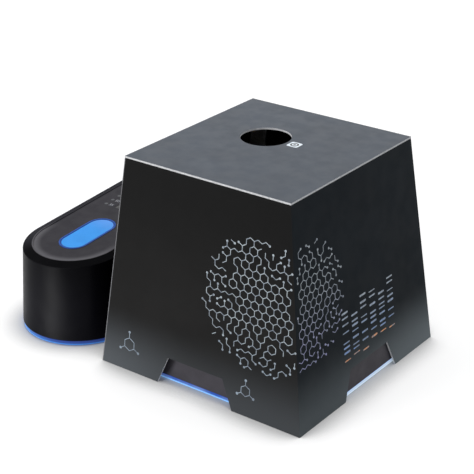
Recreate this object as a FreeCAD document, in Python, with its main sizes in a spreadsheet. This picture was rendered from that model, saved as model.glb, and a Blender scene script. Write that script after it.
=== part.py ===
import FreeCAD, Part
import math
import os
import Sketcher

# A bench instrument for gel electrophoresis: a control pod on the left, a gel unit on the right that the pod
# feeds through a short bridge, and a folded board photo hood that drops over the gel unit.
# Millimetres, +X to the right, +Y to the back, +Z up. The origin lies on the table, in the middle of the
# instrument's length and depth.

# Driving dimensions: name, value, meaning
DIMENSIONS = (
    ("fit", 0.2, "gap between pieces that seat in each other"),
    ("glide", 0.4, "gap round a piece that moves"),
    ("foot_height", 2.0, "rubber foot under a base plate"),
    ("foot_diameter", 14.0, "rubber foot"),
    ("vent_slot", 2.5, "vent slots in the base plates"),
    ("vent_pitch", 7.5, "vent slot spacing"),
    ("band_bottom", 1.0, "gap between the table and the glow bands"),
    ("band_height", 4.2, "glow bands"),
    ("band_wall", 2.4, "glow band, outside to inside"),
    ("band_inset", 0.6, "glow bands behind the housing wall"),
    ("wall", 2.6, "housing walls"),
    ("deck", 2.5, "top deck of the housings"),
    ("boss", 10.0, "screw bosses in the housings"),
    ("boss_bite", 0.5, "how far a boss runs into its wall"),
    ("screw", 3.0, "screw shank"),
    ("screw_head", 5.6, "screw head"),
    ("screw_sink", 1.4, "depth of a sunk screw head"),
    ("screw_length", 10.0, "screw shank length"),
    ("board_screw", 2.5, "circuit board screw shank"),
    ("board_screw_head", 4.6, "circuit board screw head"),
    ("board_screw_rise", 1.6, "circuit board screw head height"),
    ("board_screw_length", 6.0, "circuit board screw shank length"),
    ("board_gap", 5.0, "lower circuit boards above their base plates"),
    ("board", 1.6, "circuit board thickness"),
    ("standoff", 6.0, "posts that carry a circuit board"),
    ("unit_gap", 13.3, "table gap between pod and hood"),
    ("pod_width", 104.0, "pod at its foot, left to right"),
    ("pod_length", 214.0, "pod at its foot, front to back"),
    ("pod_height", 80.2, "top of the pod's wall, halfway along"),
    ("pod_lean", 4.5, "how far the pod's walls lean in over that height"),
    ("pod_slope", 15.4, "rise of the pod's sloping top over the pod's length"),
    ("boss_height", 25.0, "screw bosses in the pod"),
    ("rim_width", 7.7, "sloping rim on top of the pod"),
    ("rim_rise", 2.3, "rise of that rim"),
    ("rim_round", 0.8, "rounding between that rim and the wall"),
    ("rim_crest", 0.9, "flat crest inside that rim"),
    ("dish_depth", 0.6, "crest of the rim to the control panel"),
    ("panel", 1.2, "control panel sheet"),
    ("badge_length", 58.6, "badge, front to back"),
    ("badge_width", 25.6, "badge, left to right"),
    ("badge_edge", 1.4, "frame round the badge"),
    ("badge_depth", 0.8, "badge seat in the panel"),
    ("badge_proud", 0.3, "badge frame above the panel"),
    ("badge_share", -0.198, "badge centre from the pod's centre, as a share of the pod's length"),
    ("badge_x", 0.2, "badge centre, from the pod's centre"),
    ("window_x", 42.0, "display window width"),
    ("window_y", 22.0, "display window depth"),
    ("window_lip", 2.0, "ledge under the display window"),
    ("window_at_x", 8.0, "display centre, from the pod's centre"),
    ("window_share", 0.0935, "display centre from the pod's centre, as a share of the pod's length"),
    ("lamp", 3.2, "indicator lamp diameter"),
    ("lamp_at_x", -25.0, "row of indicator lamps"),
    ("lamp_pitch", 9.0, "indicator lamp spacing"),
    ("button", 15.0, "key cap diameter"),
    ("run_button", 18.0, "start key cap diameter"),
    ("button_proud", 3.0, "key caps above the panel"),
    ("button_flange", 1.5, "retaining collar of a key, radius beyond the cap"),
    ("button_collar", 1.5, "retaining collar thickness"),
    ("button_stem", 4.0, "key stem diameter"),
    ("button_bevel", 0.8, "bevel on a key's top edge"),
    ("button_travel", 1.2, "key travel"),
    ("button_x", 14.0, "key columns, from the pod's middle"),
    ("button_share", 0.2523, "front row of keys from the pod's centre, as a share of the pod's length"),
    ("button_pitch_share", 0.1168, "spacing of the key rows, as a share of the pod's length"),
    ("switch_size", 6.0, "tact switch, square"),
    ("switch_height", 4.3, "tact switch above its board"),
    ("control_drop", 9.7, "control board under the pod's deck"),
    ("control_x", 70.0, "control board width"),
    ("control_end", 23.0, "control board's end, inside the pod's end"),
    ("control_post_y", 38.0, "posts of the control board"),
    ("power_x", 72.0, "power board width"),
    ("power_end_gap", 13.0, "power board's end, inside the pod's end"),
    ("power_taper", 34.0, "length of the power board's tapered ends"),
    ("power_end", 44.0, "width of the power board's ends"),
    ("transformer_x", 34.0, "transformer core, left to right"),
    ("transformer_y", 42.0, "transformer core, front to back"),
    ("transformer_z", 30.0, "transformer height"),
    ("core_z", 18.0, "transformer core height"),
    ("coil_x", 27.0, "transformer coil, left to right"),
    ("coil_y", 26.0, "transformer coil, front to back"),
    ("transformer_at_y", -40.0, "transformer centre"),
    ("capacitor", 18.0, "capacitor diameter"),
    ("capacitor_height", 32.0, "capacitor height"),
    ("capacitor_pitch", 24.0, "capacitor spacing"),
    ("sink_x", 26.0, "heat sink width"),
    ("sink_y", 44.0, "heat sink length"),
    ("sink_z", 28.0, "heat sink height"),
    ("sink_base", 4.0, "heat sink base thickness"),
    ("sink_fin", 1.6, "heat sink fin"),
    ("sink_at_y", 32.0, "heat sink centre"),
    ("inlet_sleeve", 9.0, "power inlet sleeve outside"),
    ("inlet_bore", 6.4, "power inlet bore"),
    ("inlet_pin", 2.0, "power inlet centre pin"),
    ("inlet_depth", 9.0, "depth of the power inlet"),
    ("inlet_block", 12.0, "power inlet block, square"),
    ("inlet_length", 14.0, "power inlet block length"),
    ("bridge_width", 44.0, "bridge between the units, front to back"),
    ("bridge_height", 14.0, "bridge height"),
    ("bridge_bottom", 8.0, "bridge above the table"),
    ("bridge_wall", 1.8, "bridge wall"),
    ("bridge_bite", 1.4, "bridge end beyond a housing's inner wall"),
    ("ribbon_width", 26.0, "ribbon cable width"),
    ("ribbon", 1.2, "ribbon cable thickness"),
    ("plug_x", 8.0, "ribbon plug"),
    ("plug_z", 7.0, "ribbon plug height"),
    ("pod_plug_x", 26.0, "ribbon plug in the pod, from the pod's middle"),
    ("bay_x", 196.4, "gel unit, left to right at its foot"),
    ("bay_y", 186.5, "gel unit, front to back at its foot"),
    ("bay_height", 46.0, "gel unit's deck above the table"),
    ("bay_lean", 3.9, "how far its walls lean in over their height"),
    ("bay_corner", 12.0, "corner radius of the gel unit"),
    ("bay_edge", 2.0, "rounding of the deck's edge"),
    ("well_depth", 10.5, "recess for the tank"),
    ("well_wall", 2.5, "wall and floor of that recess"),
    ("glass_x", 74.0, "light window, left to right"),
    ("glass_y", 116.0, "light window, front to back"),
    ("diffuser_lap", 3.0, "diffuser beyond the window"),
    ("led_board_x", 150.0, "lamp board, left to right"),
    ("led_board_y", 132.0, "lamp board, front to back"),
    ("led", 3.6, "blue lamp, square"),
    ("led_height", 1.2, "blue lamp above its board"),
    ("led_pitch_x", 15.0, "blue lamp columns"),
    ("led_pitch_y", 20.0, "blue lamp rows"),
    ("reflector_wall", 2.0, "reflector wall"),
    ("reflector_flare", 4.0, "how far the reflector narrows to its lamps"),
    ("bay_boss_x", 80.0, "screw bosses of the gel unit"),
    ("bay_boss_y", 75.5, "screw bosses of the gel unit"),
    ("contact", 4.0, "contact pin diameter"),
    ("contact_x", 62.0, "contact pins, from the gel unit's middle"),
    ("contact_rise", 1.2, "contact pins above the deck"),
    ("tank_x", 150.0, "buffer tank, left to right"),
    ("tank_y", 126.0, "buffer tank, front to back"),
    ("tank_z", 35.5, "buffer tank height"),
    ("tank_corner", 6.0, "buffer tank corner radius"),
    ("tank_wall", 2.5, "buffer tank wall and floor"),
    ("platform_x", 68.0, "gel platform, left to right"),
    ("platform_z", 14.0, "gel platform above the tank's foot"),
    ("rib", 2.0, "tray guides on the platform"),
    ("rib_length", 16.0, "tray guide length"),
    ("rib_height", 4.0, "tray guide height"),
    ("terminal_x", 14.0, "electrode terminal"),
    ("terminal_y", 10.0, "electrode terminal"),
    ("terminal_z", 11.0, "electrode terminal"),
    ("terminal_stem", 4.0, "terminal stem through the tank wall"),
    ("wire", 0.8, "electrode wire diameter"),
    ("wire_rise", 3.0, "electrode wire above the tank floor"),
    ("tray_x", 60.0, "gel tray along the run"),
    ("tray_y", 108.0, "gel tray across the run"),
    ("tray_floor", 2.5, "gel tray floor"),
    ("tray_wall", 2.0, "gel tray side walls"),
    ("tray_z", 14.0, "gel tray side wall height"),
    ("tray_tab", 3.0, "lifting tabs on the tray"),
    ("tray_tab_length", 22.0, "lifting tab length"),
    ("comb_slot", 2.0, "comb slots in the tray's walls"),
    ("comb_slot_depth", 6.0, "comb slot depth"),
    ("comb_x", 20.0, "comb line, from the tray's middle"),
    ("gel_z", 6.0, "gel thickness"),
    ("gel_gap", 0.5, "gel clear of the tray"),
    ("pocket_x", 1.4, "sample pocket along the run"),
    ("pocket_y", 5.0, "sample pocket across the run"),
    ("pocket_depth", 4.5, "sample pocket depth"),
    ("pocket_pitch", 8.0, "sample pocket spacing"),
    ("lid_wall", 2.2, "safety lid wall"),
    ("lid_skirt", 9.0, "lid skirt below the tank's rim"),
    ("lid_ledge", 3.0, "lid ledge that rests on the tank's rim"),
    ("lid_rise", 13.0, "lid above the tank's rim"),
    ("lid_slope", 5.0, "how far the lid's upper walls lean in"),
    ("lid_corner", 8.0, "lid corner radius"),
    ("grip_x", 40.0, "lid grip length"),
    ("grip_y", 6.0, "lid grip width"),
    ("grip_z", 5.0, "lid grip height"),
    ("grip_at_y", 44.0, "lid grips, from the lid's middle"),
    ("hood_base_x", 203.0, "hood at the table, left to right"),
    ("hood_base_y", 201.0, "hood at the table, front to back"),
    ("hood_top_x", 160.6, "hood top, left to right"),
    ("hood_top_y", 171.2, "hood top, front to back"),
    ("hood_height", 186.0, "hood height"),
    ("card", 1.5, "hood board thickness"),
    ("cutout_foot", 76.4, "hood cut-out width at the table"),
    ("cutout_head", 55.6, "hood cut-out width at its top"),
    ("cutout_height", 25.0, "hood cut-out height"),
    ("cutout_shift", 2.8, "front and right cut-outs, off the middle away from the corner between them"),
    ("camera_hole", 42.5, "camera hole diameter"),
    ("camera_x", -15.0, "camera hole, from the hood's middle"),
    ("camera_y", 15.0, "camera hole, from the hood's middle"),
    ("tuck", 22.0, "tuck flaps under the hood's top"),
    ("glue_flap", 16.0, "glue flap inside the hood's corner"),
    ("glue_flap_foot", 8.0, "glue flap above the table"),
    ("glue_flap_head", 14.0, "glue flap under the hood's top"),
)

# Repeated features: how many of each
VENTS = 5
FINS = 6
SAMPLE_POCKETS = 12
LED_COLUMNS = 4
LED_ROWS = 6
STATUS_LAMPS = 3

# How an edge is found by its height: points looked at along it, and how near they lie
EDGE_SAMPLES = 5
EDGE_REACH = 0.03


class Size:
    """A length with its present value and the formula that ties it to the sheet."""

    def __init__(self, value, formula):
        self.value = float(value)
        self.formula = formula

    def __add__(self, other):
        other = as_size(other)
        return Size(self.value + other.value, f"({self.formula} + {other.formula})")

    def __sub__(self, other):
        other = as_size(other)
        return Size(self.value - other.value, f"({self.formula} - {other.formula})")

    def __mul__(self, factor):
        factor = as_size(factor)
        return Size(self.value * factor.value, f"({self.formula} * {factor.formula})")

    def __truediv__(self, divisor):
        divisor = as_size(divisor)
        return Size(self.value / divisor.value, f"({self.formula} / {divisor.formula})")

    def __neg__(self):
        return Size(-self.value, f"(-1 * {self.formula})")

    def __radd__(self, other):
        return as_size(other) + self

    def __rsub__(self, other):
        return as_size(other) - self

    __rmul__ = __mul__


class Sizes:
    """The driving dimensions by name."""


def as_size(length):
    return length if isinstance(length, Size) else Size(length, f"{length:.6f}")


def make_sheet():
    """Fill the spreadsheet, one row for each driving dimension."""
    sheet = doc.addObject("Spreadsheet::Sheet", "Sizes")
    sizes = Sizes()
    for row, (name, value, meaning) in enumerate(DIMENSIONS, start=1):
        sheet.set(f"A{row}", name)
        sheet.set(f"B{row}", str(value))
        sheet.setAlias(f"B{row}", name)
        sheet.set(f"C{row}", meaning)
        setattr(sizes, name, Size(value, f"Sizes.{name}"))
    return sizes


# Placing and keeping pieces

def place(item, x=0, y=0, z=0, turn=0):
    """Put an object at bound coordinates, turned about the upright axis."""
    spot = FreeCAD.Vector(as_size(x).value, as_size(y).value, as_size(z).value)
    item.Placement = FreeCAD.Placement(spot, FreeCAD.Rotation(FreeCAD.Vector(0, 0, 1), turn))
    for axis, length in zip("xyz", (x, y, z)):
        if isinstance(length, Size):
            item.setExpression(f"Placement.Base.{axis}", length.formula)
    return item


def place_on_top(item, s, x=0, y=0):
    """Put an object in the frame of the pod's sloping top, which agrees with the upright frame halfway along."""
    spot = (s.pod_mid + x, s.pod_height * s.slope_sine + s.slope_cosine * y,
            s.pod_height * (1 - s.slope_cosine) + s.slope_sine * y)
    turn = FreeCAD.Rotation(FreeCAD.Vector(1, 0, 0), s.slope.value)
    item.Placement = FreeCAD.Placement(FreeCAD.Vector(*[length.value for length in spot]), turn)
    for axis, length in zip("xyz", spot):
        item.setExpression(f"Placement.Base.{axis}", length.formula)
    item.setExpression("Placement.Rotation.Angle", s.slope.formula)
    return item


def bind(item, **lengths):
    """Tie properties of an object to the sheet."""
    for name, length in lengths.items():
        item.setExpression(name, as_size(length).formula)
    return item


def keep(item, name):
    """Name a finished piece and list it for export."""
    item.Label = name
    pieces.append(item)
    return item


def new_body(name, x=0, y=0, z=0, turn=0):
    return keep(place(doc.addObject("PartDesign::Body", name), x, y, z, turn), name)


def new_top_body(name, s, x=0, y=0):
    return keep(place_on_top(doc.addObject("PartDesign::Body", name), s, x, y), name)


# Sketches on a body's own planes

def origin_plane(body, role):
    return [item for item in body.Origin.OriginFeatures if item.Role == role][0]


def new_top_plane(body, s):
    """A datum plane that slopes as the pod's top does; sketches lift off it by the levels of that top."""
    plane = body.newObject("PartDesign::Plane", f"{body.Name}_top_plane")
    plane.AttachmentSupport = [(origin_plane(body, "XY_Plane"), "")]
    plane.MapMode = "FlatFace"
    spot = (s.pod_height * s.slope_sine, s.pod_height * (1 - s.slope_cosine))
    turn = FreeCAD.Rotation(FreeCAD.Vector(1, 0, 0), s.slope.value)
    plane.AttachmentOffset = FreeCAD.Placement(FreeCAD.Vector(0, spot[0].value, spot[1].value), turn)
    plane.setExpression("AttachmentOffset.Base.y", spot[0].formula)
    plane.setExpression("AttachmentOffset.Base.z", spot[1].formula)
    plane.setExpression("AttachmentOffset.Rotation.Angle", s.slope.formula)
    return plane


def new_sketch(body, plane="XY_Plane", lift=0):
    sketch = body.newObject("Sketcher::SketchObject", f"{body.Name}_sketch")
    support = origin_plane(body, plane) if isinstance(plane, str) else plane
    sketch.AttachmentSupport = [(support, "")]
    sketch.MapMode = "FlatFace"
    sketch.AttachmentOffset = FreeCAD.Placement(FreeCAD.Vector(0, 0, as_size(lift).value), FreeCAD.Rotation())
    if isinstance(lift, Size):
        sketch.setExpression("AttachmentOffset.Base.z", lift.formula)
    return sketch


def pin_point(sketch, curve, end, x, y):
    """Hold a point of a sketch at bound coordinates."""
    for kind, length in (("DistanceX", as_size(x)), ("DistanceY", as_size(y))):
        number = sketch.addConstraint(Sketcher.Constraint(kind, -1, 1, curve, end, length.value))
        sketch.setExpression(f"Constraints[{number}]", length.formula)


def draw_polygon(sketch, points):
    first = sketch.GeometryCount
    spots = [FreeCAD.Vector(as_size(x).value, as_size(y).value, 0) for x, y in points]
    count = len(spots)
    for index in range(count):
        sketch.addGeometry(Part.LineSegment(spots[index], spots[(index + 1) % count]), False)
    for index in range(count):
        follower = first + (index + 1) % count
        sketch.addConstraint(Sketcher.Constraint("Coincident", first + index, 2, follower, 1))
    for index, (x, y) in enumerate(points):
        pin_point(sketch, first + index, 1, x, y)
    return sketch


def draw_rectangle(sketch, width, depth, x=0, y=0):
    left, right = x - width / 2, x + width / 2
    low, high = y - depth / 2, y + depth / 2
    return draw_polygon(sketch, ((left, low), (right, low), (right, high), (left, high)))


def draw_circle(sketch, diameter, x=0, y=0):
    centre = FreeCAD.Vector(as_size(x).value, as_size(y).value, 0)
    axis = FreeCAD.Vector(0, 0, 1)
    curve = sketch.addGeometry(Part.Circle(centre, axis, as_size(diameter).value / 2), False)
    number = sketch.addConstraint(Sketcher.Constraint("Diameter", curve, as_size(diameter).value))
    sketch.setExpression(f"Constraints[{number}]", as_size(diameter).formula)
    pin_point(sketch, curve, 3, x, y)
    return sketch


def draw_rounded(sketch, half_x, half_y, radius, x=0, y=0):
    """A rectangle with round corners: an arc for each corner and a straight line between neighbours."""
    first = sketch.GeometryCount
    reach_x, reach_y = half_x - radius, half_y - radius
    centres = ((x + reach_x, y + reach_y), (x - reach_x, y + reach_y),
               (x - reach_x, y - reach_y), (x + reach_x, y - reach_y))
    arcs = []
    for quarter, (at_x, at_y) in enumerate(centres):
        centre = FreeCAD.Vector(as_size(at_x).value, as_size(at_y).value, 0)
        ring = Part.Circle(centre, FreeCAD.Vector(0, 0, 1), radius.value)
        arcs.append(Part.ArcOfCircle(ring, quarter * math.pi / 2, (quarter + 1) * math.pi / 2))
    for quarter, arc in enumerate(arcs):
        sketch.addGeometry(arc, False)
        sketch.addGeometry(Part.LineSegment(arc.EndPoint, arcs[(quarter + 1) % 4].StartPoint), False)
    for step in range(8):
        sketch.addConstraint(Sketcher.Constraint("Tangent", first + step, 2, first + (step + 1) % 8, 1))
    for quarter, (at_x, at_y) in enumerate(centres):
        pin_point(sketch, first + 2 * quarter, 3, at_x, at_y)
    number = sketch.addConstraint(Sketcher.Constraint("Radius", first, radius.value))
    sketch.setExpression(f"Constraints[{number}]", radius.formula)
    for quarter in range(1, 4):
        sketch.addConstraint(Sketcher.Constraint("Equal", first, first + 2 * quarter))
    return sketch


def draw_stadium(sketch, half_x, half_y, x=0, y=0):
    """Two half circles joined by straight sides, long along the sketch's second axis."""
    first = sketch.GeometryCount
    reach = half_y - half_x
    ends = ((x, y + reach, 0), (x, y - reach, math.pi))
    arcs = []
    for at_x, at_y, start in ends:
        centre = FreeCAD.Vector(as_size(at_x).value, as_size(at_y).value, 0)
        ring = Part.Circle(centre, FreeCAD.Vector(0, 0, 1), half_x.value)
        arcs.append(Part.ArcOfCircle(ring, start, start + math.pi))
    for number, arc in enumerate(arcs):
        sketch.addGeometry(arc, False)
        sketch.addGeometry(Part.LineSegment(arc.EndPoint, arcs[1 - number].StartPoint), False)
    for step in range(4):
        sketch.addConstraint(Sketcher.Constraint("Tangent", first + step, 2, first + (step + 1) % 4, 1))
    for number, (at_x, at_y, start) in enumerate(ends):
        pin_point(sketch, first + 2 * number, 3, at_x, at_y)
    number = sketch.addConstraint(Sketcher.Constraint("Radius", first, half_x.value))
    sketch.setExpression(f"Constraints[{number}]", half_x.formula)
    return sketch


# Features of a body

def arctangent(rise, run):
    return Size(math.degrees(math.atan2(rise.value, run.value)), f"atan({rise.formula} / {run.formula})")


def draft(lean, length):
    """Angle of walls that lean in by an amount over a length."""
    return -arctangent(lean, length)


def pad(body, sketch, length, taper=None):
    feature = body.newObject("PartDesign::Pad", f"{body.Name}_pad")
    feature.Profile = sketch
    if taper is not None:
        bind(feature, TaperAngle=taper)
    return bind(feature, Length=length)


def cut(body, sketch, depth=None, upward=False, taper=None):
    """Remove a profile against its sketch's normal, or along it when upward; with no depth, right through."""
    feature = body.newObject("PartDesign::Pocket", f"{body.Name}_cut")
    feature.Profile = sketch
    feature.Reversed = upward
    if taper is not None:
        bind(feature, TaperAngle=taper)
    if depth is None:
        feature.Type = "ThroughAll"
    else:
        bind(feature, Length=depth)
    return feature


def loft(body, sketches, kind="AdditiveLoft"):
    feature = body.newObject(f"PartDesign::{kind}", f"{body.Name}_loft")
    feature.Profile = sketches[0]
    feature.Sections = list(sketches[1:])
    feature.Ruled = True
    return feature


def edges_at(base, height, plane=None):
    """Names of a feature's edges that lie at one height over a datum plane, or over the body's foot."""
    doc.recompute()
    frame = plane.Placement.inverse() if plane else FreeCAD.Placement()
    names = []
    for number, edge in enumerate(base.Shape.Edges, start=1):
        levels = [frame.multVec(point).z - height.value for point in edge.discretize(EDGE_SAMPLES)]
        if max(abs(level) for level in levels) < EDGE_REACH:
            names.append(f"Edge{number}")
    return names


def round_edges(body, base, height, radius, plane=None):
    feature = body.newObject("PartDesign::Fillet", f"{body.Name}_round")
    feature.Base = (base, edges_at(base, height, plane))
    return bind(feature, Radius=radius)


def slope_edges(body, base, height, run, drop, plane=None):
    """Slope the top edges of a feature: a chamfer with its own run and drop."""
    feature = body.newObject("PartDesign::Chamfer", f"{body.Name}_slope")
    feature.Base = (base, edges_at(base, height, plane))
    feature.ChamferType = "Two distances"
    feature.FlipDirection = True
    return bind(feature, Size=run, Size2=drop)


def repeat(body, feature, plane_axis, pitch, count):
    """Repeat a feature in a straight row along an origin axis of its body."""
    row = body.newObject("PartDesign::LinearPattern", f"{body.Name}_row")
    axis = [item for item in body.Origin.OriginFeatures if item.Role == plane_axis][0]
    row.Originals = [feature]
    row.Direction = (axis, [""])
    row.Mode = "Spacing"
    row.Occurrences = count
    bind(row, Offset=pitch)
    body.Tip = row
    return row


# Plain solids for bought-in and small pieces

def block(width, depth, height, x=0, y=0, z=0):
    """A box centred on x and y that stands on z."""
    item = doc.addObject("Part::Box", "block")
    bind(item, Length=width, Width=depth, Height=height)
    return place(item, x - as_size(width) / 2, y - as_size(depth) / 2, z)


def rod(diameter, height, x=0, y=0, z=0):
    item = doc.addObject("Part::Cylinder", "rod")
    bind(item, Radius=as_size(diameter) / 2, Height=height)
    return place(item, x, y, z)


def lying_rod(diameter, length, x=0, y=0, z=0):
    """A rod that runs backwards along +Y from its placement."""
    item = rod(diameter, length, x, y, z)
    item.Placement = FreeCAD.Placement(item.Placement.Base, FreeCAD.Rotation(FreeCAD.Vector(1, 0, 0), -90))
    return item


def gather(name, solids, kind="Part::Compound", x=0, y=0, z=0):
    """Make one named piece of several solids: a group that stays apart, or one joined solid."""
    item = doc.addObject(kind, name)
    if kind == "Part::Compound":
        item.Links = solids
    else:
        item.Shapes = solids
    return keep(place(item, x, y, z), name)


def corners(x, y):
    return ((x, y), (-x, y), (-x, -y), (x, -y))


def centred_row(count, pitch):
    """Places of a row that is centred on zero."""
    return [pitch * (step - (count - 1) / 2) for step in range(count)]


# Shared levels and middles

def work_out(s):
    """Derive the levels and middles that several pieces share."""
    total = s.pod_width + s.unit_gap + s.hood_base_x
    s.pod_mid = s.pod_width / 2 - total / 2
    s.hood_mid = total / 2 - s.hood_base_x / 2
    s.band_top = s.band_bottom + s.band_height
    s.plate_top = s.band_top
    s.plate = s.plate_top - s.foot_height
    s.low_board = s.plate_top + s.board_gap
    s.low_board_top = s.low_board + s.board
    s.pod_half_x = s.pod_width / 2
    s.pod_half_y = s.pod_length / 2
    s.pod_taper = draft(s.pod_lean, s.pod_height - s.band_top)
    s.slope = arctangent(s.pod_slope, s.pod_length)
    s.slope_sine = Size(math.sin(math.radians(s.slope.value)), f"sin({s.slope.formula})")
    s.slope_cosine = Size(math.cos(math.radians(s.slope.value)), f"cos({s.slope.formula})")
    s.pod_top_x = s.pod_half_x - s.pod_lean
    s.pod_top_y = s.pod_half_y - s.pod_lean
    s.crest = s.pod_height + s.rim_rise
    s.panel_top = s.crest - s.dish_depth
    s.pod_deck_top = s.panel_top - s.panel
    s.pod_deck = s.pod_deck_top - s.deck
    s.dish_cut = s.rim_width + s.rim_crest
    s.pod_boss_x = s.pod_half_x - s.wall - s.boss / 2 + s.boss_bite
    s.pod_boss_y = s.pod_half_y - s.pod_half_x
    s.badge_y = s.pod_length * s.badge_share
    s.window_at_y = s.pod_length * s.window_share
    s.button_y = s.pod_length * s.button_share
    s.button_pitch = s.pod_length * s.button_pitch_share
    s.control_y = s.pod_length - s.control_end * 2
    s.control_post_x = s.control_x / 2 - s.standoff / 2
    s.power_y = s.pod_length - s.power_end_gap * 2
    s.power_post_x = s.power_x / 2 - s.standoff / 2
    s.power_post_y = s.power_y / 2 - s.power_taper - s.standoff
    s.led_post_x = s.led_board_x / 2 - s.standoff
    s.led_post_y = s.led_board_y / 2 - s.standoff
    s.control_top = s.pod_deck - s.control_drop
    s.bay_deck = s.bay_height - s.deck
    s.well_floor = s.bay_height - s.well_depth
    s.well_bottom = s.well_floor - s.well_wall
    s.diffuser_top = s.well_bottom
    s.reflector_top = s.diffuser_top - s.deck
    s.tank_top = s.well_floor + s.tank_z
    s.platform_top = s.well_floor + s.platform_z
    s.terminal_bottom = s.bay_height + s.contact_rise + s.fit
    s.terminal_at_y = s.tank_y / 2 + s.fit + s.terminal_y / 2
    s.stem_z = s.terminal_bottom + s.terminal_z / 2
    s.wire_z = s.well_floor + s.tank_wall + s.wire_rise
    s.gel_bottom = s.platform_top + s.tray_floor
    s.lid_roof = s.tank_top + s.lid_rise
    s.card_top = s.hood_height - s.card
    return s


def draw_panel_openings(sketch, s, window_half_x, window_half_y):
    """The openings that the pod's deck and its control panel share."""
    for x, y, diameter in key_places(s):
        draw_circle(sketch, diameter + s.glide * 2, x, y)
    for x, y in lamp_places(s):
        draw_circle(sketch, s.lamp + s.fit, x, y)
    draw_rectangle(sketch, window_half_x * 2, window_half_y * 2, s.window_at_x, s.window_at_y)
    return sketch


def key_places(s):
    back = s.button_y + s.button_pitch
    return ((-s.button_x, s.button_y, s.button), (s.button_x, s.button_y, s.button),
            (-s.button_x, back, s.button), (s.button_x, back, s.run_button))


def lamp_places(s):
    return [(s.lamp_at_x, s.window_at_y + y) for y in centred_row(STATUS_LAMPS, s.lamp_pitch)]


# Control pod

def pod_wall_lean(s, height):
    """How far the pod's wall has leaned in at a height."""
    return s.pod_lean * ((height - s.band_top) / (s.pod_height - s.band_top))


def make_pod_housing(s):
    """A drafted tub with a sloping top: the walls first, then the deck across them, its rim and its dish."""
    body = new_body("pod_housing", s.pod_mid)
    top = new_top_plane(body, s)
    tall = s.crest + s.pod_slope - s.band_top
    outside = draw_stadium(new_sketch(body, lift=s.band_top), s.pod_half_x, s.pod_half_y)
    pad(body, outside, tall, s.pod_taper)
    hollow = draw_stadium(new_sketch(body, lift=s.band_top), s.pod_half_x - s.wall, s.pod_half_y - s.wall)
    cut(body, hollow, tall, upward=True, taper=s.pod_taper)
    deck = new_sketch(body, top, s.pod_deck)
    draw_stadium(deck, s.pod_top_x - s.wall / 2, s.pod_top_y - s.wall / 2)
    pad(body, deck, s.crest - s.pod_deck)
    above = draw_rectangle(new_sketch(body, top, s.crest), s.pod_width, s.pod_length)
    tub = cut(body, above, upward=True)
    rim = slope_edges(body, tub, s.crest, s.rim_width, s.rim_rise, top)
    round_edges(body, rim, s.pod_height, s.rim_round, top)
    dish = draw_stadium(new_sketch(body, top, s.crest), s.pod_top_x - s.dish_cut, s.pod_top_y - s.dish_cut)
    cut(body, dish, s.dish_depth + s.panel)
    openings = new_sketch(body, top, s.pod_deck_top)
    draw_panel_openings(openings, s, s.window_x / 2 - s.window_lip, s.window_y / 2 - s.window_lip)
    cut(body, openings, s.deck)
    port = new_sketch(body, "YZ_Plane", s.pod_half_x - s.wall * 2)
    draw_rectangle(port, s.bridge_width + s.fit * 2, s.bridge_height + s.fit * 2,
                   0, s.bridge_bottom + s.bridge_height / 2)
    cut(body, port, upward=True)
    inlet = draw_circle(new_sketch(body, "XZ_Plane"), s.inlet_sleeve + s.fit * 2, 0, inlet_height(s))
    cut(body, inlet)
    posts = new_sketch(body, top, s.control_top)
    for x, y in corners(s.control_post_x, s.control_post_y):
        draw_circle(posts, s.standoff, x, y)
    pad(body, posts, s.control_drop + s.deck / 2)
    post_holes = new_sketch(body, top, s.control_top)
    for x, y in corners(s.control_post_x, s.control_post_y):
        draw_circle(post_holes, s.board_screw + s.fit, x, y)
    cut(body, post_holes, s.board_screw_length, upward=True)
    bosses = new_sketch(body, lift=s.plate_top)
    for x, y in corners(s.pod_boss_x, s.pod_boss_y):
        draw_circle(bosses, s.boss, x, y)
    pad(body, bosses, s.boss_height)
    pilots = new_sketch(body, lift=s.plate_top)
    for x, y in corners(s.pod_boss_x, s.pod_boss_y):
        draw_circle(pilots, s.screw + s.fit, x, y)
    cut(body, pilots, s.screw_length, upward=True)


def inlet_height(s):
    return s.low_board_top + s.inlet_block / 2


def make_base_plate(name, middle, outline, spots, board_spots, s):
    """A base plate with sunk screw holes, board posts and a row of vent slots."""
    body = new_body(name, middle)
    pad(body, outline(new_sketch(body, lift=s.foot_height)), s.plate)
    posts = new_sketch(body, lift=s.foot_height + s.plate / 2)
    for x, y in board_spots:
        draw_circle(posts, s.standoff, x, y)
    pad(body, posts, s.board_gap + s.plate / 2)
    pilots = new_sketch(body, lift=s.low_board)
    for x, y in board_spots:
        draw_circle(pilots, s.board_screw + s.fit, x, y)
    cut(body, pilots, s.board_screw_length)
    holes = new_sketch(body, lift=s.plate_top)
    for x, y in spots:
        draw_circle(holes, s.screw + s.fit * 2, x, y)
    cut(body, holes, s.plate)
    sinks = new_sketch(body, lift=s.foot_height)
    for x, y in spots:
        draw_circle(sinks, s.screw_head + s.fit * 2, x, y)
    cut(body, sinks, s.screw_sink, upward=True)
    vent = new_sketch(body, lift=s.plate_top)
    draw_rectangle(vent, s.bridge_width, s.vent_slot, 0, centred_row(VENTS, s.vent_pitch)[0])
    repeat(body, cut(body, vent, s.plate), "Y_Axis", s.vent_pitch, VENTS)


def make_pod_base(s):
    inside = s.band_inset + s.band_wall + s.fit
    make_base_plate("pod_base_plate", s.pod_mid,
                    lambda sketch: draw_stadium(sketch, s.pod_half_x - inside, s.pod_half_y - inside),
                    corners(s.pod_boss_x, s.pod_boss_y),
                    corners(s.power_post_x, s.power_post_y), s)
    body = new_body("pod_glow_band", s.pod_mid)
    ring = new_sketch(body, lift=s.band_bottom)
    draw_stadium(ring, s.pod_half_x - s.band_inset, s.pod_half_y - s.band_inset)
    draw_stadium(ring, s.pod_half_x - s.band_inset - s.band_wall, s.pod_half_y - s.band_inset - s.band_wall)
    pad(body, ring, s.band_height)


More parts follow.
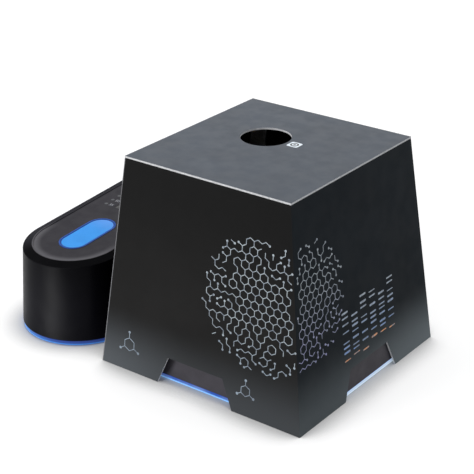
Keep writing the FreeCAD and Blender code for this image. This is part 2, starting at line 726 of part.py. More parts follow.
def join_screw(head, shank):
    screw = doc.addObject("Part::Fuse", "screw")
    screw.Base = head
    screw.Tool = shank
    return screw


def make_base_screws(name, spots, middle, s):
    """Screws from below that hold a base plate, with sunk heads."""
    gather(name, [join_screw(rod(s.screw_head, s.screw_sink, x, y, s.foot_height),
                             rod(s.screw, s.screw_length, x, y, s.foot_height + s.screw_sink))
                  for x, y in spots], x=middle)


def make_board_screws(name, spots, middle, board_face, shank_end, s):
    """Screws that hold a circuit board: heads on its outer face, shanks through it into its posts."""
    upward = shank_end.value > board_face.value
    head_bottom = board_face - s.board_screw_rise if upward else board_face
    shank_bottom = board_face if upward else shank_end
    length = shank_end - board_face if upward else board_face - shank_end
    return gather(name, [join_screw(rod(s.board_screw_head, s.board_screw_rise, x, y, head_bottom),
                                    rod(s.board_screw, length, x, y, shank_bottom))
                         for x, y in spots], x=middle)


def drill_board(board, top, spots, s):
    holes = new_sketch(board, lift=top)
    for x, y in spots:
        draw_circle(holes, s.board_screw + s.fit, x, y)
    cut(board, holes, s.board)


def make_feet(name, spots, middle, s):
    gather(name, [rod(s.foot_diameter, s.foot_height, x, y) for x, y in spots], x=middle)


def make_control_panel(s):
    body = new_top_body("control_panel", s)
    edge = s.dish_cut + s.fit
    sheet = draw_stadium(new_sketch(body, lift=s.pod_deck_top), s.pod_top_x - edge, s.pod_top_y - edge)
    pad(body, sheet, s.panel)
    openings = new_sketch(body, lift=s.panel_top)
    draw_panel_openings(openings, s, s.window_x / 2 + s.fit, s.window_y / 2 + s.fit)
    cut(body, openings, s.panel)
    seat = new_sketch(body, lift=s.panel_top)
    half_x, half_y = s.badge_width / 2 + s.badge_edge, s.badge_length / 2 + s.badge_edge
    draw_stadium(seat, half_x, half_y, s.badge_x, s.badge_y)
    cut(body, seat, s.badge_depth)


def make_badge(s):
    bottom = s.panel_top - s.badge_depth
    half_x, half_y = s.badge_width / 2, s.badge_length / 2
    frame = new_top_body("badge_rim", s, s.badge_x, s.badge_y)
    ring = new_sketch(frame, lift=bottom)
    draw_stadium(ring, half_x + s.badge_edge - s.fit, half_y + s.badge_edge - s.fit)
    draw_stadium(ring, half_x, half_y)
    pad(frame, ring, s.badge_depth + s.badge_proud)
    plate = new_top_body("badge_plate", s, s.badge_x, s.badge_y)
    pad(plate, draw_stadium(new_sketch(plate, lift=bottom), half_x - s.fit, half_y - s.fit), s.badge_depth)


def make_display(s):
    window = new_top_body("display_window", s, s.window_at_x, s.window_at_y)
    glass = draw_rectangle(new_sketch(window, lift=s.pod_deck_top), s.window_x, s.window_y)
    pad(window, glass, s.panel - s.fit)
    lip = s.window_lip + s.fit
    module = block(s.window_x - lip * 2, s.window_y - lip * 2, s.pod_deck_top - s.control_top - s.fit,
                   z=s.control_top)
    place_on_top(gather("display_module", [module]), s, s.window_at_x, s.window_at_y)
    lamps = [rod(s.lamp, s.panel_top - s.control_top, x, y, s.control_top) for x, y in lamp_places(s)]
    place_on_top(gather("indicator_lights", lamps), s)


def make_key(name, x, y, diameter, s):
    """A turned key cap with a collar that holds it under the deck and a stem that presses its switch."""
    body = new_top_body(name, s, x, y)
    top = s.panel_top + s.button_proud
    collar_top = s.pod_deck - s.fit
    collar_bottom = collar_top - s.button_collar
    stem_bottom = s.control_top + s.switch_height + s.button_travel + s.fit / 2
    radius = diameter / 2
    profile = draw_polygon(new_sketch(body, "XZ_Plane"), (
        (0, stem_bottom),
        (s.button_stem / 2, stem_bottom),
        (s.button_stem / 2, collar_bottom),
        (radius + s.button_flange, collar_bottom),
        (radius + s.button_flange, collar_top),
        (radius, collar_top),
        (radius, top - s.button_bevel),
        (radius - s.button_bevel, top),
        (0, top),
    ))
    turn = body.newObject("PartDesign::Revolution", f"{name}_turn")
    turn.Profile = profile
    turn.ReferenceAxis = (profile, ["V_Axis"])
    turn.Angle = 360


def make_controls(s):
    names = ("voltage_button", "timer_button", "light_button", "run_button")
    for name, (x, y, diameter) in zip(names, key_places(s)):
        make_key(name, x, y, diameter, s)
    switches = [block(s.switch_size, s.switch_size, s.switch_height, x, y, s.control_top)
                for x, y, diameter in key_places(s)]
    place_on_top(gather("key_switches", switches), s)
    board = new_top_body("control_board", s)
    outline = new_sketch(board, lift=s.control_top - s.board)
    draw_rounded(outline, s.control_x / 2, s.control_y / 2, s.control_x / 2 - s.button_x / 2)
    pad(board, outline, s.board)
    spots = corners(s.control_post_x, s.control_post_y)
    drill_board(board, s.control_top, spots, s)
    screws = make_board_screws("control_board_screws", spots, 0, s.control_top - s.board,
                               s.control_top - s.board + s.board_screw_length, s)
    place_on_top(screws, s)


def make_power_board(s):
    board = new_body("power_board", s.pod_mid)
    wide, narrow = s.power_x / 2, s.power_end / 2
    near, far = s.power_y / 2 - s.power_taper, s.power_y / 2
    outline = new_sketch(board, lift=s.low_board)
    draw_polygon(outline, ((narrow, -far), (wide, -near), (wide, near), (narrow, far),
                           (-narrow, far), (-wide, near), (-wide, -near), (-narrow, -far)))
    pad(board, outline, s.board)
    spots = corners(s.power_post_x, s.power_post_y)
    drill_board(board, s.low_board_top, spots, s)
    make_board_screws("power_board_screws", spots, s.pod_mid, s.low_board_top,
                      s.low_board_top - s.board_screw_length, s)


def make_transformer(s):
    core = block(s.transformer_x, s.transformer_y, s.core_z,
                 0, 0, s.low_board_top + (s.transformer_z - s.core_z) / 2)
    coil = block(s.coil_x, s.coil_y, s.transformer_z, 0, 0, s.low_board_top)
    gather("transformer", [core, coil], "Part::MultiFuse", s.pod_mid, s.transformer_at_y)


def make_capacitors(s):
    at_x = s.capacitor_pitch / 2
    at_y = s.transformer_at_y + s.transformer_y / 2 + s.capacitor
    cans = [rod(s.capacitor, s.capacitor_height, x, at_y, s.low_board_top) for x in (-at_x, at_x)]
    gather("capacitors", cans, x=s.pod_mid)


def make_heat_sink(s):
    body = new_body("heat_sink", s.pod_mid, s.sink_at_y)
    base = new_sketch(body, lift=s.low_board_top)
    pad(body, draw_rectangle(base, s.sink_x, s.sink_y), s.sink_base)
    fin = new_sketch(body, lift=s.low_board_top)
    draw_rectangle(fin, s.sink_fin, s.sink_y, s.sink_fin / 2 - s.sink_x / 2, 0)
    first = pad(body, fin, s.sink_z)
    repeat(body, first, "X_Axis", (s.sink_x - s.sink_fin) / (FINS - 1), FINS)


def make_inlet(s):
    """The power inlet: a block on the power board with a round socket that shows in the pod's back wall."""
    height = inlet_height(s)
    back = s.pod_half_y - s.wall - pod_wall_lean(s, height + s.inlet_block / 2) - s.fit * 3
    body = new_body("dc_inlet", s.pod_mid)
    front = new_sketch(body, "XZ_Plane", -back)
    draw_rectangle(front, s.inlet_block, s.inlet_block, 0, height)
    pad(body, front, s.inlet_length)
    sleeve = draw_circle(new_sketch(body, "XZ_Plane", -(back + s.wall)), s.inlet_sleeve, 0, height)
    pad(body, sleeve, s.wall)
    bore = new_sketch(body, "XZ_Plane", -(back + s.wall))
    draw_circle(bore, s.inlet_bore, 0, height)
    draw_circle(bore, s.inlet_pin, 0, height)
    cut(body, bore, s.inlet_depth, upward=True)


# Bridge between the units

def make_bridge(s):
    bridge_top = s.bridge_bottom + s.bridge_height
    start = s.pod_mid + s.pod_half_x - s.wall - pod_wall_lean(s, bridge_top) - s.bridge_bite
    end = s.hood_mid - s.bay_x / 2 + s.wall + s.bay_lean / 2 + s.bridge_bite
    body = new_body("bridge_duct")
    ring = new_sketch(body, "YZ_Plane", start)
    middle = s.bridge_bottom + s.bridge_height / 2
    draw_rectangle(ring, s.bridge_width, s.bridge_height, 0, middle)
    draw_rectangle(ring, s.bridge_width - s.bridge_wall * 2, s.bridge_height - s.bridge_wall * 2, 0, middle)
    pad(body, ring, end - start)
    pod_plug = s.pod_mid + s.pod_plug_x
    bay_plug = s.hood_mid - s.led_board_x / 2 + s.plug_x / 2
    plugs = [block(s.plug_x, s.ribbon_width + s.ribbon * 2, s.plug_z, x, 0, s.low_board_top)
             for x in (pod_plug, bay_plug)]
    gather("ribbon_plugs", plugs)
    length = bay_plug - pod_plug - s.plug_x
    ribbon = block(length, s.ribbon_width, s.ribbon, (pod_plug + bay_plug) / 2, 0, middle - s.ribbon / 2)
    keep(ribbon, "ribbon_cable")


# Gel unit

def draw_bay(sketch, inset, s):
    return draw_rounded(sketch, s.bay_x / 2 - inset, s.bay_y / 2 - inset, s.bay_corner - inset)


def make_bay_housing(s):
    body = new_body("bay_housing", s.hood_mid)
    foot = draw_bay(new_sketch(body, lift=s.band_top), 0, s)
    taper = draft(s.bay_lean, s.bay_height - s.band_top)
    outside = pad(body, foot, s.bay_height - s.band_top, taper)
    round_edges(body, outside, s.bay_height, s.bay_edge)
    hollow = draw_bay(new_sketch(body, lift=s.band_top), s.wall, s)
    cut(body, hollow, s.bay_deck - s.band_top, upward=True, taper=taper)
    well_x, well_y = s.tank_x / 2 + s.glide, s.tank_y / 2 + s.glide
    corner = s.tank_corner + s.glide
    outer = new_sketch(body, lift=s.well_bottom)
    draw_rounded(outer, well_x + s.well_wall, well_y + s.well_wall, corner + s.well_wall)
    pad(body, outer, s.bay_deck + s.deck / 2 - s.well_bottom)
    cut(body, draw_rounded(new_sketch(body, lift=s.bay_height), well_x, well_y, corner), s.well_depth)
    window = draw_rectangle(new_sketch(body, lift=s.well_floor), s.glass_x + s.fit * 2, s.glass_y + s.fit * 2)
    cut(body, window, s.well_wall)
    bosses = new_sketch(body, lift=s.plate_top)
    for x, y in corners(s.bay_boss_x, s.bay_boss_y):
        draw_circle(bosses, s.boss, x, y)
    pad(body, bosses, s.bay_deck + s.deck / 2 - s.plate_top)
    pilots = new_sketch(body, lift=s.plate_top)
    for x, y in corners(s.bay_boss_x, s.bay_boss_y):
        draw_circle(pilots, s.screw + s.fit, x, y)
    cut(body, pilots, s.screw_length, upward=True)
    contacts = new_sketch(body, lift=s.bay_height)
    for side in (-1, 1):
        draw_circle(contacts, s.contact + s.fit, s.contact_x * side, s.terminal_at_y)
    cut(body, contacts, s.deck)
    port = new_sketch(body, "YZ_Plane", s.wall * 3 - s.bay_x / 2)
    draw_rectangle(port, s.bridge_width + s.fit * 2, s.bridge_height + s.fit * 2,
                   0, s.bridge_bottom + s.bridge_height / 2)
    cut(body, port, s.wall * 4)


def make_bay_base(s):
    inside = s.band_inset + s.band_wall + s.fit
    make_base_plate("bay_base_plate", s.hood_mid, lambda sketch: draw_bay(sketch, inside, s),
                    corners(s.bay_boss_x, s.bay_boss_y),
                    corners(s.led_post_x, s.led_post_y), s)
    body = new_body("bay_glow_band", s.hood_mid)
    ring = new_sketch(body, lift=s.band_bottom)
    draw_bay(ring, s.band_inset, s)
    draw_bay(ring, s.band_inset + s.band_wall, s)
    pad(body, ring, s.band_height)


def make_light_box(s):
    board = new_body("led_board", s.hood_mid)
    pad(board, draw_rectangle(new_sketch(board, lift=s.low_board), s.led_board_x, s.led_board_y), s.board)
    spots = corners(s.led_post_x, s.led_post_y)
    drill_board(board, s.low_board_top, spots, s)
    make_board_screws("led_board_screws", spots, s.hood_mid, s.low_board_top,
                      s.low_board_top - s.board_screw_length, s)
    lamps = [block(s.led, s.led, s.led_height, x, y, s.low_board_top)
             for x in centred_row(LED_COLUMNS, s.led_pitch_x)
             for y in centred_row(LED_ROWS, s.led_pitch_y)]
    gather("blue_leds", lamps, x=s.hood_mid)
    half_x, half_y = s.glass_x / 2 + s.diffuser_lap, s.glass_y / 2 + s.diffuser_lap
    shade = new_body("reflector_frame", s.hood_mid)
    for inset, kind in ((0, "AdditiveLoft"), (s.reflector_wall, "SubtractiveLoft")):
        narrow = s.reflector_flare + inset
        low = new_sketch(shade, lift=s.low_board_top)
        draw_rectangle(low, (half_x - narrow) * 2, (half_y - narrow) * 2)
        high = new_sketch(shade, lift=s.reflector_top)
        draw_rectangle(high, (half_x - inset) * 2, (half_y - inset) * 2)
        loft(shade, (low, high), kind)
    thickness = s.diffuser_top - s.reflector_top
    keep(block(half_x * 2, half_y * 2, thickness, s.hood_mid, 0, s.reflector_top), "diffuser_plate")
    keep(block(s.glass_x, s.glass_y, s.well_wall, s.hood_mid, 0, s.well_bottom), "filter_glass")


def make_contact_pins(s):
    length = s.deck * 2 + s.contact_rise
    foot = s.bay_deck - s.deck
    pins = [rod(s.contact, length, s.contact_x * side, s.terminal_at_y, foot) for side in (-1, 1)]
    gather("contact_pins", pins, x=s.hood_mid)


# Buffer tank, gel and lid

def make_tank(s):
    """A clear tub: two buffer reservoirs with a raised platform between them, hollow below for the light."""
    body = new_body("buffer_tank", s.hood_mid)
    half_x, half_y = s.tank_x / 2, s.tank_y / 2
    inner_y = half_y - s.tank_wall
    pad(body, draw_rounded(new_sketch(body, lift=s.well_floor), half_x, half_y, s.tank_corner), s.tank_z)
    inside = draw_rounded(new_sketch(body, lift=s.tank_top), half_x - s.tank_wall, inner_y,
                          s.tank_corner - s.tank_wall)
    cut(body, inside, s.tank_z - s.platform_z)
    reservoir_x = half_x - s.tank_wall - s.platform_x / 2
    reservoirs = new_sketch(body, lift=s.platform_top)
    for side in (-1, 1):
        draw_rounded(reservoirs, reservoir_x / 2, inner_y, s.tank_corner - s.tank_wall,
                     (s.platform_x / 2 + reservoir_x / 2) * side, 0)
    cut(body, reservoirs, s.platform_z - s.tank_wall)
    light_well = new_sketch(body, lift=s.well_floor)
    draw_rectangle(light_well, s.platform_x - s.tank_wall * 2, (inner_y - s.tank_wall) * 2)
    cut(body, light_well, s.platform_z - s.tank_wall, upward=True)
    guides = new_sketch(body, lift=s.platform_top - s.tank_wall / 2)
    guide_x = s.tray_x / 2 + s.glide + s.rib / 2
    guide_y = s.tray_y / 2 - s.rib_length / 2
    for x, y in corners(guide_x, guide_y):
        draw_rectangle(guides, s.rib, s.rib_length, x, y)
    pad(body, guides, s.rib_height + s.tank_wall / 2)
    stems = new_sketch(body, "XZ_Plane", -(half_y + s.tank_wall))
    for side in (-1, 1):
        draw_circle(stems, s.terminal_stem + s.fit * 2, s.contact_x * side, s.stem_z)
    cut(body, stems, s.tank_wall * 3, upward=True)


def make_electrodes(s):
    """Platinum wires low in the reservoirs, each joined to a terminal on the tank's back wall."""
    for name, side in (("cathode", -1), ("anode", 1)):
        x = s.contact_x * side
        head = block(s.terminal_x, s.terminal_y, s.terminal_z, x, s.terminal_at_y, s.terminal_bottom)
        inner = s.tank_y / 2 - s.tank_wall - s.fit
        stem = lying_rod(s.terminal_stem, s.tank_wall + s.fit * 2 + s.rib, x, inner - s.rib, s.stem_z)
        gather(f"{name}_terminal", [head, stem], "Part::MultiFuse", s.hood_mid)
        at_y = inner - s.rib - s.wire / 2
        leg = rod(s.wire, s.stem_z - s.wire_z, x, at_y, s.wire_z)
        run = lying_rod(s.wire, at_y * 2, x, -at_y, s.wire_z)
        gather(f"{name}_wire", [leg, run], "Part::MultiFuse", s.hood_mid)


def make_tray(s):
    body = new_body("gel_tray", s.hood_mid)
    pad(body, draw_rectangle(new_sketch(body, lift=s.platform_top), s.tray_x, s.tray_y), s.tray_floor)
    walls = new_sketch(body, lift=s.platform_top)
    for side in (-1, 1):
        draw_rectangle(walls, s.tray_x, s.tray_wall, 0, (s.tray_y / 2 - s.tray_wall / 2) * side)
    pad(body, walls, s.tray_z)
    tabs = new_sketch(body, lift=s.platform_top + s.tray_z - s.tray_wall)
    for side in (-1, 1):
        draw_rectangle(tabs, s.tray_tab_length, s.tray_tab + s.tray_wall / 2,
                       0, (s.tray_y / 2 + s.tray_tab / 2 - s.tray_wall / 4) * side)
    pad(body, tabs, s.tray_wall)
    slot = new_sketch(body, lift=s.platform_top + s.tray_z)
    draw_rectangle(slot, s.comb_slot, s.tray_y + s.tray_wall, -s.comb_x, 0)
    cut(body, slot, s.comb_slot_depth)


def make_gel(s):
    body = new_body("agarose_gel", s.hood_mid)
    width = s.tray_y - (s.tray_wall + s.gel_gap) * 2
    slab = draw_rectangle(new_sketch(body, lift=s.gel_bottom), s.tray_x - s.gel_gap * 2, width)
    pad(body, slab, s.gel_z)
    first = new_sketch(body, lift=s.gel_bottom + s.gel_z)
    start = centred_row(SAMPLE_POCKETS, s.pocket_pitch)[0]
    draw_rectangle(first, s.pocket_x, s.pocket_y, -s.comb_x, start)
    pocket = cut(body, first, s.pocket_depth)
    repeat(body, pocket, "Y_Axis", s.pocket_pitch, SAMPLE_POCKETS)


def make_lid(s):
    """An amber cover: a skirt round the tank, a ledge on its rim and a raised roof with leaning walls."""
    body = new_body("safety_lid", s.hood_mid)
    half_x, half_y = s.tank_x / 2 + s.glide, s.tank_y / 2 + s.glide
    skirt = new_sketch(body, lift=s.tank_top - s.lid_skirt)
    draw_rounded(skirt, half_x + s.lid_wall, half_y + s.lid_wall, s.lid_corner)
    pad(body, skirt, s.lid_skirt + s.lid_wall)
    dome = new_sketch(body, lift=s.tank_top + s.lid_wall)
    draw_rounded(dome, half_x + s.lid_wall, half_y + s.lid_wall, s.lid_corner)
    dome_height = s.lid_rise - s.lid_wall
    pad(body, dome, dome_height, draft(s.lid_slope, dome_height))
    around = new_sketch(body, lift=s.tank_top - s.lid_skirt)
    draw_rounded(around, half_x, half_y, s.tank_corner + s.glide)
    cut(body, around, s.lid_skirt, upward=True)
    room = s.tank_wall + s.lid_ledge
    hollow = draw_rounded(new_sketch(body, lift=s.tank_top), half_x - room, half_y - room, s.tank_corner)
    cut(body, hollow, s.lid_rise - s.lid_wall, upward=True)
    grips = [block(s.grip_x, s.grip_y, s.grip_z, 0, s.grip_at_y * side, s.lid_roof) for side in (-1, 1)]
    gather("lid_grips", grips, x=s.hood_mid)


# Photo hood

def hood_outside(s, height, inset=0):
    """Half width and half depth of the hood's outside at a height, less an inset."""
    share = height / s.card_top
    half_x = s.hood_base_x / 2 - (s.hood_base_x - s.hood_top_x) / 2 * share - inset
    half_y = s.hood_base_y / 2 - (s.hood_base_y - s.hood_top_y) / 2 * share - inset
    return half_x, half_y


def draw_strip(sketch, half_length, offset, thickness):
    """Cross-section of a panel in front of its body's origin, mitred at both ends."""
    return draw_polygon(sketch, ((-half_length, -offset), (half_length, -offset),
                                 (half_length - thickness, thickness - offset),
                                 (thickness - half_length, thickness - offset)))


def hood_sides(s):
    """Name, turn, whether the side spans the hood's width, and its cut-out's place, for the four walls."""
    return (("front", 0, True, -s.cutout_shift), ("right", 90, False, s.cutout_shift),
            ("back", 180, True, 0), ("left", 270, False, 0))


def make_hood_walls(s):
    for side, turn, spans_width, middle in hood_sides(s):
        body = new_body(f"hood_{side}_panel", s.hood_mid, turn=turn)
        sections = []
        for height in (as_size(0), s.card_top):
            half_x, half_y = hood_outside(s, height)
            half_length, offset = (half_x, half_y) if spans_width else (half_y, half_x)
            sections.append(draw_strip(new_sketch(body, lift=height), half_length, offset, s.card))
        loft(body, sections)
        notch = new_sketch(body, "XZ_Plane")
        foot, head = s.cutout_foot / 2, s.cutout_head / 2
        draw_polygon(notch, ((middle - foot, 0), (middle + foot, 0),
                             (middle + head, s.cutout_height), (middle - head, s.cutout_height)))
        cut(body, notch, upward=True)


def make_hood_top(s):
    body = new_body("hood_top_panel", s.hood_mid)
    pad(body, draw_rectangle(new_sketch(body, lift=s.card_top), s.hood_top_x, s.hood_top_y), s.card)
    hole = draw_circle(new_sketch(body, lift=s.hood_height), s.camera_hole, s.camera_x, s.camera_y)
    cut(body, hole, s.card)
    for side, turn, spans_width, _ in hood_sides(s):
        if side == "back":
            continue
        half_x, half_y = hood_outside(s, s.card_top, s.card + s.fit)
        half_length, offset = (half_x, half_y) if spans_width else (half_y, half_x)
        flap = new_body(f"hood_{side}_tuck_flap", s.hood_mid, turn=turn)
        outline = draw_strip(new_sketch(flap, lift=s.card_top - s.card), half_length - s.fit, offset, s.tuck)
        pad(flap, outline, s.card)


def make_glue_flap(s):
    body = new_body("hood_glue_flap", s.hood_mid)
    sections = []
    for height in (s.glue_flap_foot, s.card_top - s.glue_flap_head):
        half_x, half_y = hood_outside(s, height, s.card + s.fit)
        corners_here = ((-half_x, half_y), (-half_x, half_y - s.card),
                        (s.glue_flap - half_x, half_y - s.card), (s.glue_flap - half_x, half_y))
        sections.append(draw_polygon(new_sketch(body, lift=height), corners_here))
    loft(body, sections)


# Checks and export

def check_document():
    """Stop on a failed object, a cut that removed nothing or a piece that isn't sound."""
    for item in doc.Objects:
        if "Invalid" in item.State or "Error" in item.State:
            raise RuntimeError(f"{item.Name} failed: {item.State}")
        if item.TypeId in ("PartDesign::Pocket", "PartDesign::SubtractiveLoft"):
            before = item.BaseFeature.Shape.Volume
            if before - item.Shape.Volume < 0.01:
                raise RuntimeError(f"{item.Name} cuts nothing")
    for piece in pieces:
        if piece.Shape.isNull() or not piece.Shape.isValid():
            raise RuntimeError(f"{piece.Label} is not sound")


def export_pieces():
    os.makedirs("parts", exist_ok=True)
    for piece in pieces:
        piece.Shape.exportStep(f"parts/{piece.Label}.step")
        box = piece.Shape.BoundBox
        print(f"{piece.Label}: {len(piece.Shape.Solids)} solids, x {box.XMin:.2f} {box.XMax:.2f}, "
              f"y {box.YMin:.2f} {box.YMax:.2f}, z {box.ZMin:.2f} {box.ZMax:.2f}")


doc = FreeCAD.newDocument("gel_system")
pieces = []
sizes = work_out(make_sheet())

make_pod_housing(sizes)
make_pod_base(sizes)
make_base_screws("pod_screws", corners(sizes.pod_boss_x, sizes.pod_boss_y), sizes.pod_mid, sizes)
make_feet("pod_feet", corners(sizes.pod_half_x / 2, sizes.pod_boss_y), sizes.pod_mid, sizes)
make_control_panel(sizes)
make_badge(sizes)
make_display(sizes)
make_controls(sizes)
make_power_board(sizes)
make_transformer(sizes)
make_capacitors(sizes)
make_heat_sink(sizes)
make_inlet(sizes)
make_bridge(sizes)
make_bay_housing(sizes)
make_bay_base(sizes)
make_base_screws("bay_screws", corners(sizes.bay_boss_x, sizes.bay_boss_y), sizes.hood_mid, sizes)
make_feet("bay_feet", corners(sizes.bay_x / 3, sizes.bay_y / 3), sizes.hood_mid, sizes)
make_light_box(sizes)
make_contact_pins(sizes)
make_tank(sizes)
make_electrodes(sizes)
make_tray(sizes)
make_gel(sizes)
make_lid(sizes)
make_hood_walls(sizes)
make_hood_top(sizes)
make_glue_flap(sizes)

doc.recompute()
check_document()
export_pieces()
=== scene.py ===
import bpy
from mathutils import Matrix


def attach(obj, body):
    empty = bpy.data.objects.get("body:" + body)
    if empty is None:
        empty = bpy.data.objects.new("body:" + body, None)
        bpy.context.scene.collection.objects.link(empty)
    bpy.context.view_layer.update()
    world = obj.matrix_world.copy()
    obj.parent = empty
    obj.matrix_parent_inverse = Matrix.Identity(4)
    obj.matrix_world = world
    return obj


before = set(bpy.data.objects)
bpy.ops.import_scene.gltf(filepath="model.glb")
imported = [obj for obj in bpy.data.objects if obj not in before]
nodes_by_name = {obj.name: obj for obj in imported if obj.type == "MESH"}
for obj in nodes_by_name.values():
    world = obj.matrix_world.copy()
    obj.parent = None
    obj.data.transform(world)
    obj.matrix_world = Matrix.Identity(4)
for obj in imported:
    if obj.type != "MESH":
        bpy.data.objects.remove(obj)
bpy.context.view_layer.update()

import bmesh
import bpy
import math
import random
from mathutils import Matrix, Quaternion, Vector

# The pod, in metres, in the frame of the part: its top slopes down to the front
POD_X = -0.10815
POD_HEIGHT = 0.0802
POD_SLOPE = math.atan(0.0154 / 0.214)
POD_LINE = 0.055                    # half of the middle line of its plan
DISH_RADIUS = 0.0389
DISH_CREST = (0.0006, 0.0014)       # the crest's two edges, outside the dish
DISH_LOW = 0.07                     # lower than the crest, higher than the foot
FRONT_END = (-0.066, -0.036)        # where the top's front end passes into its middle
PANEL_TOP = 0.0819
WINDOW_TOP = 0.0817
KEY_TOP = 0.0849
BADGE_CENTRE = (POD_X + 0.0002, -0.04236)
BADGE_RADIUS = 0.0126
BADGE_LINE = 0.01645
BAND_FOOT = (0.0014, 0.0028)        # heights where a blue band's foot passes into its body
BAND_TOP = (0.0040, 0.0047)         # heights where its body passes into its dark top line

# The hood: half sizes of its foot and head, across the front and along the side
HOOD_X = 0.05865
HOOD_HALF_FOOT = (0.1015, 0.1005)
HOOD_HALF_HEAD = (0.0803, 0.0856)
HOOD_WALL_TOP = 0.1845
HOOD_TOP = 0.186

# Print
PRINT_LIFT = 0.00005
STROKE = 0.0006
HONEYCOMB_PITCH = 0.0072
HONEYCOMB_FOOT = 0.03
LANES = 6
LANE_PITCH = 0.0135
LANE_START = -0.028
SIGN_CENTRE = (0.0730, 0.0138)
SIGN_HALF = 0.0052
SIGN_CORNER = 0.0018
SIGN_RING = (0.0023, 0.0037)
SIGN_DOT = 0.0011

# The photograph's viewpoint
AIM = Vector((0.02246, 0.00300, 0.09427))
AZIMUTH = math.radians(37.05)
ELEVATION = math.radians(24.79)
ROLL = math.radians(-0.28)
DISTANCE = 1.1944
LENS = 106.99

# Print colours
SILVER = (0.46, 0.52, 0.56)
STEEL = (0.34, 0.42, 0.50)
BLUE = (0.14, 0.28, 0.60)
LILAC = (0.34, 0.34, 0.62)
ORANGE = (0.80, 0.34, 0.12)


# Camera

def make_camera():
    data = bpy.data.cameras.new("camera")
    data.lens = LENS
    data.sensor_width = 36
    data.clip_start = 0.01
    data.clip_end = 50
    camera = bpy.data.objects.new("camera", data)
    bpy.context.scene.collection.objects.link(camera)
    back = Vector((math.sin(AZIMUTH) * math.cos(ELEVATION), -math.cos(AZIMUTH) * math.cos(ELEVATION),
                   math.sin(ELEVATION)))
    camera.location = AIM + back * DISTANCE
    camera.rotation_mode = "QUATERNION"
    camera.rotation_quaternion = Quaternion(back, ROLL) @ (-back).to_track_quat("-Z", "Y")
    bpy.context.scene.camera = camera


# Material building blocks

class Paint:
    """A material being built: its node tree, its shader and short ways to add nodes."""

    def __init__(self, name, roughness=0.5, specular=0.5, **sockets):
        self.material = bpy.data.materials.new(name)
        self.material.use_nodes = True
        self.tree = self.material.node_tree
        self.shader = self.tree.nodes["Principled BSDF"]
        self.place = self.add("ShaderNodeTexCoord").outputs["Object"]
        self.set("Roughness", roughness)
        self.set("Specular IOR Level", specular)
        for socket, value in sockets.items():
            self.set(socket.replace("_", " "), value)

    def add(self, kind, **values):
        node = self.tree.nodes.new(kind)
        for key, value in values.items():
            setattr(node, key, value)
        return node

    def link(self, source, target):
        self.tree.links.new(source, target)

    def feed(self, socket, value):
        """Give a socket a link, a number or a colour."""
        if isinstance(value, bpy.types.NodeSocket):
            self.link(value, socket)
        elif isinstance(value, tuple) and len(value) == 3 and socket.type == "RGBA":
            socket.default_value = (*value, 1)
        else:
            socket.default_value = value

    def set(self, name, value):
        self.feed(self.shader.inputs[name], value)

    def math(self, operation, first, second=0.0):
        node = self.add("ShaderNodeMath", operation=operation)
        self.feed(node.inputs[0], first)
        self.feed(node.inputs[1], second)
        return node.outputs[0]

    def stretch(self, value, low, high, out_low=0.0, out_high=1.0):
        """Map a value from one range to another, smoothly and clamped."""
        node = self.add("ShaderNodeMapRange", interpolation_type="SMOOTHSTEP")
        self.feed(node.inputs["Value"], value)
        self.feed(node.inputs["From Min"], low)
        self.feed(node.inputs["From Max"], high)
        self.feed(node.inputs["To Min"], out_low)
        self.feed(node.inputs["To Max"], out_high)
        return node.outputs["Result"]

    def mix(self, share, first, second):
        """Blend two colours. The node's colour sockets are its inputs 6 and 7 and its output 2."""
        node = self.add("ShaderNodeMix", data_type="RGBA")
        self.feed(node.inputs["Factor"], share)
        self.feed(node.inputs[6], first)
        self.feed(node.inputs[7], second)
        return node.outputs[2]

    def noise(self, scale, detail=4.0, roughness=0.55, stretch=(1, 1, 1)):
        placing = self.add("ShaderNodeMapping")
        placing.inputs["Scale"].default_value = stretch
        self.link(self.place, placing.inputs["Vector"])
        node = self.add("ShaderNodeTexNoise")
        node.inputs["Scale"].default_value = scale
        node.inputs["Detail"].default_value = detail
        node.inputs["Roughness"].default_value = roughness
        self.link(placing.outputs["Vector"], node.inputs["Vector"])
        return node.outputs["Fac"]

    def axis(self, name):
        node = self.add("ShaderNodeSeparateXYZ")
        self.link(self.place, node.inputs[0])
        return node.outputs[name]

    def facing(self, direction):
        """How far the true surface faces a fixed direction of the part: 1 straight along it, -1 away."""
        node = self.add("ShaderNodeVectorMath", operation="DOT_PRODUCT")
        self.link(self.add("ShaderNodeNewGeometry").outputs["True Normal"], node.inputs[0])
        node.inputs[1].default_value = direction
        return node.outputs["Value"]

    def off_line(self, centre, half, along):
        """Distance in plan from a line of half a length, the middle line of a pill shape."""
        across = "X" if along == "Y" else "Y"
        middle = dict(zip("XY", centre))
        offset = self.math("ABSOLUTE", self.math("SUBTRACT", self.axis(along), middle[along]))
        past = self.math("MAXIMUM", self.math("SUBTRACT", offset, half), 0.0)
        beside = self.math("SUBTRACT", self.axis(across), middle[across])
        squares = self.math("ADD", self.math("MULTIPLY", past, past), self.math("MULTIPLY", beside, beside))
        return self.math("SQRT", squares)

    def bump(self, height, distance, strength=1.0):
        node = self.add("ShaderNodeBump")
        node.inputs["Strength"].default_value = strength
        node.inputs["Distance"].default_value = distance
        self.link(height, node.inputs["Height"])
        self.link(node.outputs["Normal"], self.shader.inputs["Normal"])


def shade(colour, factor):
    return tuple(min(1.0, channel * factor) for channel in colour)


def moulded(name, colour, roughness=0.45, specular=0.4, grain=2600, depth=0.00002, mottle=0.16):
    """Injection moulded plastic: fine spark-eroded grain, slight mottling and uneven gloss."""
    paint = Paint(name, roughness, specular)
    cloud = paint.noise(38, 5)
    paint.set("Base Color", paint.mix(paint.stretch(cloud, 0.3, 0.7), shade(colour, 1 - mottle),
                                      shade(colour, 1 + mottle)))
    paint.set("Roughness", paint.stretch(paint.noise(120, 3), 0.3, 0.7, roughness - 0.06, roughness + 0.06))
    paint.bump(paint.noise(grain, 2), depth, 0.5)
    return paint.material


